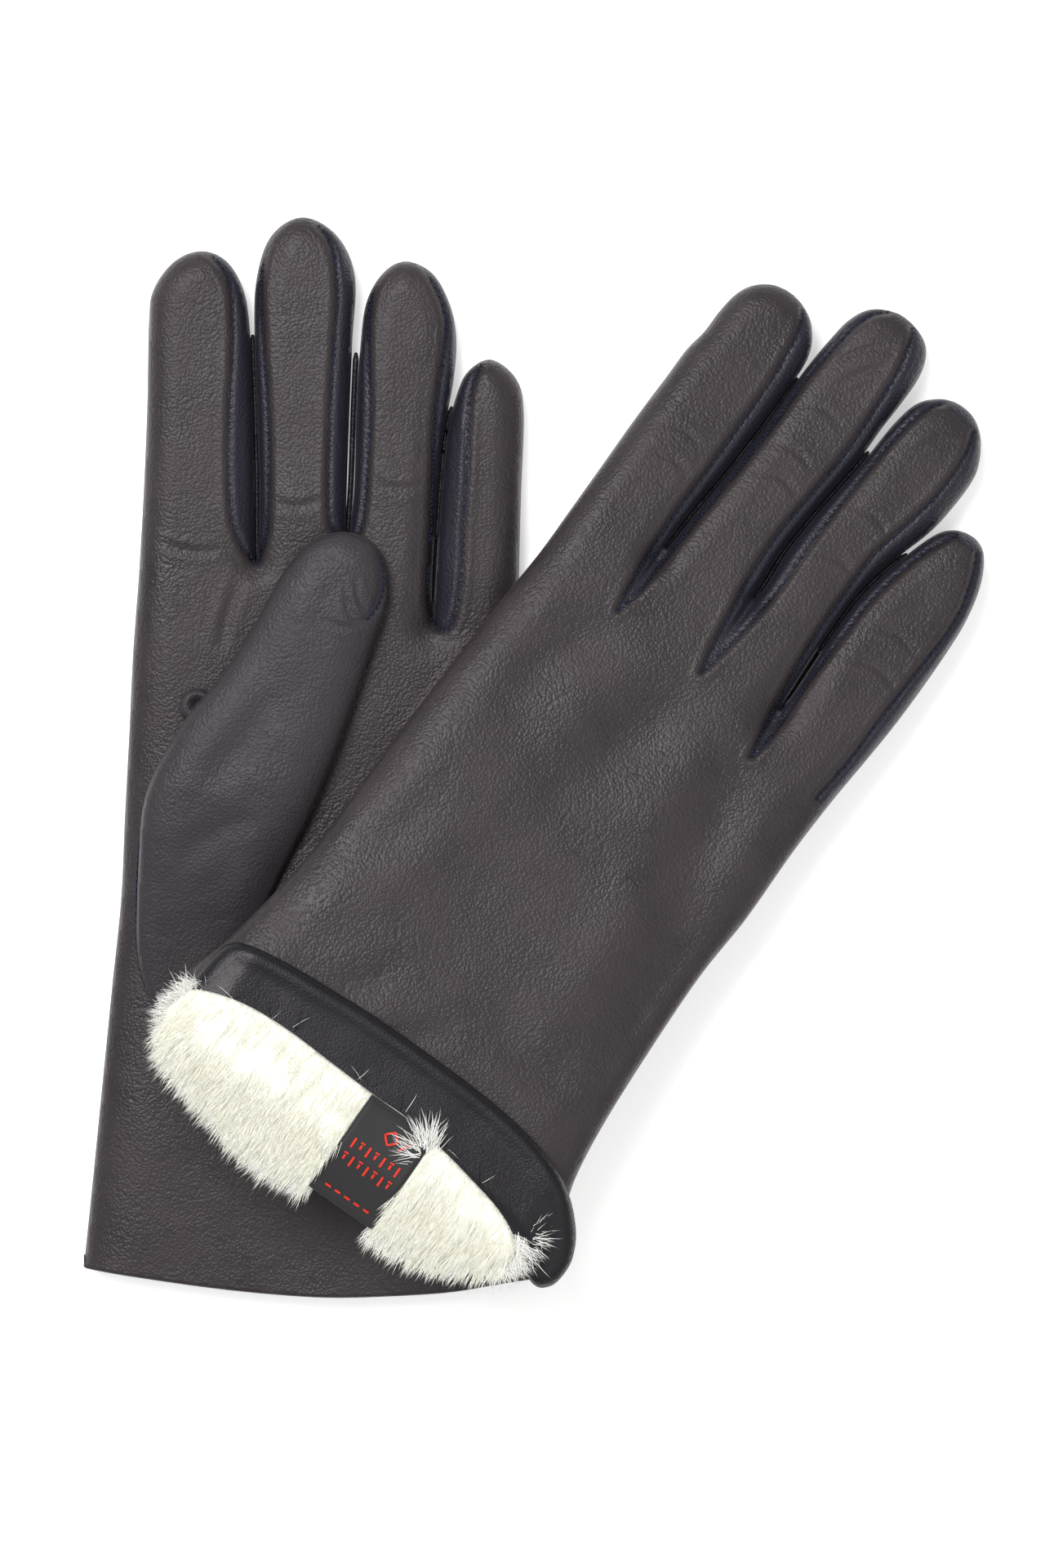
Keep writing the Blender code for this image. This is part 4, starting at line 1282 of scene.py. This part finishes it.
def tuft(centre, count, spread, headings, pitches, lengths, rng):
    made = []
    for _ in range(count):
        u = centre[0] + rng.gauss(0, spread)
        y = centre[1] + rng.gauss(0, spread * 1.5)
        heading = math.radians(rng.uniform(*headings))
        pitch = math.radians(rng.uniform(*pitches))
        made.append(aim((u, y, centre[2]), heading, pitch, rng.uniform(-1.5, 1.5), rng.uniform(*lengths)))
    return made


def strands(name, matrices, mats):
    obj = copies(name, strand_shape(), matrices, mats)
    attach(obj, "right_cuff")
    return obj


hairs = random.Random(SEED)
share = 1.0
strands("right_cuff_pile", pile(int(11000 * share), hairs), [FUR_PILE])
strands("right_cuff_fringe", fringe(int(3600 * share), hairs), [FRINGE])
tufts = tuft((20.6, 26.0, 15.2), int(170 * share), 0.7, (85, 215), (8, 34), (4.5, 10.5), hairs)
tufts += tuft((48.6, 22.6, 11.8), int(240 * share), 1.1, (-60, 95), (-4, 26), (4.0, 9.0), hairs)
tufts += tuft((-45.0, 24.6, 12.5), int(60 * share), 1.0, (110, 200), (0, 20), (2.5, 6.5), hairs)
strands("right_cuff_tufts", tufts, [FRINGE])


def loose_ends(rng):
    """Thread ends and stray hairs that stand up along the cuff's seam."""
    spots = [(-46.4, 27.2), (-43.0, 29.0), (-36.0, 30.6), (-26.8, 32.0), (-20.6, 32.4), (-2.0, 31.6),
    (0.8, 31.4),
             (26.8, 29.4), (34.6, 27.8), (11.0, 31.4), (14.2, 31.2)]
    made = []
    for u, y in spots:
        for _ in range(rng.randint(2, 5)):
            heading = math.radians(rng.uniform(60, 170))
            at = (u + rng.gauss(0, 0.6), y + rng.gauss(0, 0.4), 14.0 - cuff_wrap(np.array([u]))[0])
            pitch = math.radians(rng.uniform(5, 40))
            made.append(aim(at, heading, pitch, rng.uniform(-1.5, 1.5), rng.uniform(2.5, 5.5)))
    return made


ends = loose_ends(hairs)
strands("right_cuff_stray_hairs", ends[::4], [FRINGE])
thread_ends = copies("right_cuff_thread_ends", strand_shape(), ends[1::2], [THREAD])
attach(thread_ends, "right_cuff")


# ---------------------------------------------------------------- the size label

def label_height(u, y):
    """The label lies on the pressed pile and hangs over its lower edge."""
    droop = 5.2 * ramp(19.0 - y, 0.0, 17.0)
    sag = 0.5 * np.cos((u - 11.0) / 8.8 * math.pi / 2)
    return 16.5 - droop - 0.5 * sag - 1.0 * ramp(y - 28.0, 0.0, 3.0)


def label_sheet():
    low_u, high_u, low_y, high_y = LABEL
    columns, rows = 14, 20
    bm = bmesh.new()
    bmesh.ops.create_grid(bm, x_segments=columns, y_segments=rows, size=0.5)
    for v in bm.verts:
        u = low_u + (v.co.x + 0.5) * (high_u - low_u)
        y = low_y + (v.co.y + 0.5) * (high_y - low_y)
        v.co = (u, y, label_height(u, y))
    bmesh.ops.solidify(bm, geom=bm.faces, thickness=0.25)
    bmesh.ops.recalc_face_normals(bm, faces=bm.faces)
    obj = place(bm, "right_size_label_sheet", RIGHT, [LABEL_CLOTH])
    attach(obj, "right_cuff")
    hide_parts("right_size_label")
    return obj


def dash(at, angle, length, width):
    """One woven red dash lying on the label."""
    u, y = at
    slope = math.atan2(float(label_height(u, y + 0.5) - label_height(u, y - 0.5)), 1.0)
    turn = Matrix.Rotation(slope, 4, "X") @ Matrix.Rotation(angle, 4, "Z")
    centre = Matrix.Translation((u, y, float(label_height(u, y)) + 0.16))
    return RIGHT @ centre @ turn @ Matrix.Diagonal((length, width, 0.14, 1.0))


def label_dashes():
    """A plain woven motif: a diamond and a bar, two rows of uprights, and a row of short dashes."""
    made = []
    centre_u = (LABEL[0] + LABEL[1]) / 2
    for k in range(4):
        angle = math.pi / 4 + k * math.pi / 2
        at = (centre_u + 0.6 + 1.25 * math.cos(angle), 24.6 + 1.25 * math.sin(angle))
        made.append(dash(at, angle + math.pi / 2, 2.5, 0.5))
    made.append(dash((centre_u + 4.2, 24.6), math.radians(62), 3.2, 0.5))
    for row, (y, count, tall) in enumerate(((19.0, 7, 2.5), (15.2, 7, 2.5))):
        for k in range(count):
            u = centre_u + (k - (count - 1) / 2) * 2.0
            shorter = 0.45 if (k + row) % 2 else 1.0
            made.append(dash((u, y), math.pi / 2, tall * shorter, 0.55))
            if shorter < 1.0:
                made.append(dash((u, y + tall * 0.42), 0.0, 1.1, 0.42))
    for k in range(5):
        made.append(dash((centre_u + (k - 2) * 2.6, 8.0), 0.0, 1.5, 0.5))
    bm = bmesh.new()
    bmesh.ops.create_cube(bm, size=1.0)
    obj = copies("right_size_label_dashes", bm, made, [RED_THREAD])
    obj.data.shade_flat()
    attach(obj, "right_cuff")
    return obj


label = label_sheet()
dashes = label_dashes()


# ---------------------------------------------------------------- stitches

def stitch_shape():
    """One short stitch of thread along X."""
    bm = bmesh.new()
    bmesh.ops.create_uvsphere(bm, u_segments=6, v_segments=4, radius=1.0)
    bmesh.ops.transform(bm, matrix=Matrix.Diagonal((0.22, 0.22, 0.68, 1.0)), verts=bm.verts)
    bmesh.ops.rotate(bm, matrix=Matrix.Rotation(math.pi / 2, 3, "Y"), verts=bm.verts)
    return bm


def stitches_along(line, heights, edge, outline, matrix, spacing=0.95, slant=38.0):
    """Zigzag stitches along a seam: where each lies in the plane, and its matrix."""
    points = smooth_line(line, step=spacing)
    upper, _ = heights(points)
    from_edge, _ = edge.query(points)
    from_edge = np.where(inside(points, outline), from_edge, 0.0)
    made = []
    for i in range(1, len(points) - 1):
        if from_edge[i] < 1.0:
            continue
        run = points[i + 1] - points[i - 1]
        lean = math.radians(slant if i % 2 else -slant)
        angle = math.atan2(run[1], run[0]) + lean
        at = Matrix.Translation((points[i][0], points[i][1], upper[i] + 0.1))
        made.append((points[i], matrix @ at @ Matrix.Rotation(angle, 4, "Z")))
    return made


def sew(name, made):
    obj = copies(name, stitch_shape(), made, [THREAD])
    return obj


def sew_glove(glove, side, matrix):
    """Stitches on every seam of one glove, one piece for the hand and one for each finger."""
    found = [s for line in (LEFT_SEAMS if side == "left" else RIGHT_SEAMS).values()
             for s in stitches_along(line, glove.heights, glove.side, glove.poly, matrix)]
    owner = glove.finger_of(np.array([point for point, _ in found]))
    for k in range(5):
        mine = [m for (_, m), o in zip(found, owner) if o == k]
        if not mine:
            continue
        obj = sew(f"{side}_{'hand' if k == 0 else FINGERS[k - 1][0]}_stitches", mine)
        if k:
            bend_finger(obj)
        else:
            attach(obj, f"{side}_hand")


sew_glove(left, "left", LEFT)
sew_glove(right, "right", RIGHT)


def crotch_stitches():
    """The stitches that close the left glove's fourchettes at the crotches."""
    lines = [[(-12.2, 173.4), (-11.0, 170.8), (-9.8, 173.0)], [(9.4, 177.4), (10.4, 175.8), (11.4, 177.2)],
             [(30.0, 158.4), (31.6, 155.6), (34.0, 155.6), (35.8, 158.6)]]
    made = []
    for line in lines:
        made += stitches_along(line, left.heights, thumb.edge, left.poly, LEFT, spacing=0.8)
    return [matrix for _, matrix in made]


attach(sew("left_crotch_stitches", crotch_stitches()), "left_hand")
root_seam = stitches_along(THUMB_ROOT_SEAM, left.heights, left.side, left.poly, LEFT, spacing=0.9, slant=15.0)
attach(sew("left_thumb_root_stitches", [m for _, m in root_seam]), "left_hand")
thumb_seam = stitches_along(THUMB_SEAM, thumb.heights, left.side, left.poly, LEFT, spacing=0.7, slant=60.0)
bend_thumb(sew("left_thumb_tip_stitches", [m for _, m in thumb_seam]))


# ---------------------------------------------------------------- floor, light and camera

def stage():
    bm = bmesh.new()
    bmesh.ops.create_grid(bm, x_segments=1, y_segments=1, size=3.0)
    floor = place(bm, "studio_floor", Matrix.Translation((0, 0, -0.0002)), [])
    mat = bpy.data.materials.new("studio_white")
    mat.use_nodes = True
    mat.node_tree.nodes["Principled BSDF"].inputs["Base Color"].default_value = (0.93, 0.93, 0.925, 1)
    mat.node_tree.nodes["Principled BSDF"].inputs["Roughness"].default_value = 0.9
    mat.node_tree.nodes["Principled BSDF"].inputs["Emission Color"].default_value = (1.0, 1.0, 1.0, 1)
    mat.node_tree.nodes["Principled BSDF"].inputs["Emission Strength"].default_value = 0.45
    floor.data.materials.append(mat)
    world = bpy.data.worlds.new("studio")
    bpy.context.scene.world = world
    world.use_nodes = True
    world.node_tree.nodes["Background"].inputs["Color"].default_value = (1.0, 1.0, 1.0, 1)
    world.node_tree.nodes["Background"].inputs["Strength"].default_value = 0.5
    lamps = (("key_softbox", (-0.5, 0.6, 1.45), 0.8, 22.0), ("fill_softbox", (0.7, -0.5, 1.4), 1.2, 5.0))
    for name, at, size, power in lamps:
        data = bpy.data.lights.new(name, "AREA")
        data.shape = "SQUARE"
        data.size = size
        data.energy = power
        lamp = bpy.data.objects.new(name, data)
        lamp.location = at
        lamp.rotation_euler = (-Vector(at)).to_track_quat("-Z", "Y").to_euler()
        bpy.context.scene.collection.objects.link(lamp)


def camera():
    data = bpy.data.cameras.new("camera")
    data.lens = 150.0
    data.sensor_width = 36.0
    view_height = 0.3679
    camera = bpy.data.objects.new("camera", data)
    camera.location = (-0.0035, -0.0066, data.lens / 36.0 * view_height)
    data.clip_end = 20.0
    bpy.context.scene.collection.objects.link(camera)
    bpy.context.scene.camera = camera


stage()
camera()
bpy.context.scene.view_settings.view_transform = "Standard"
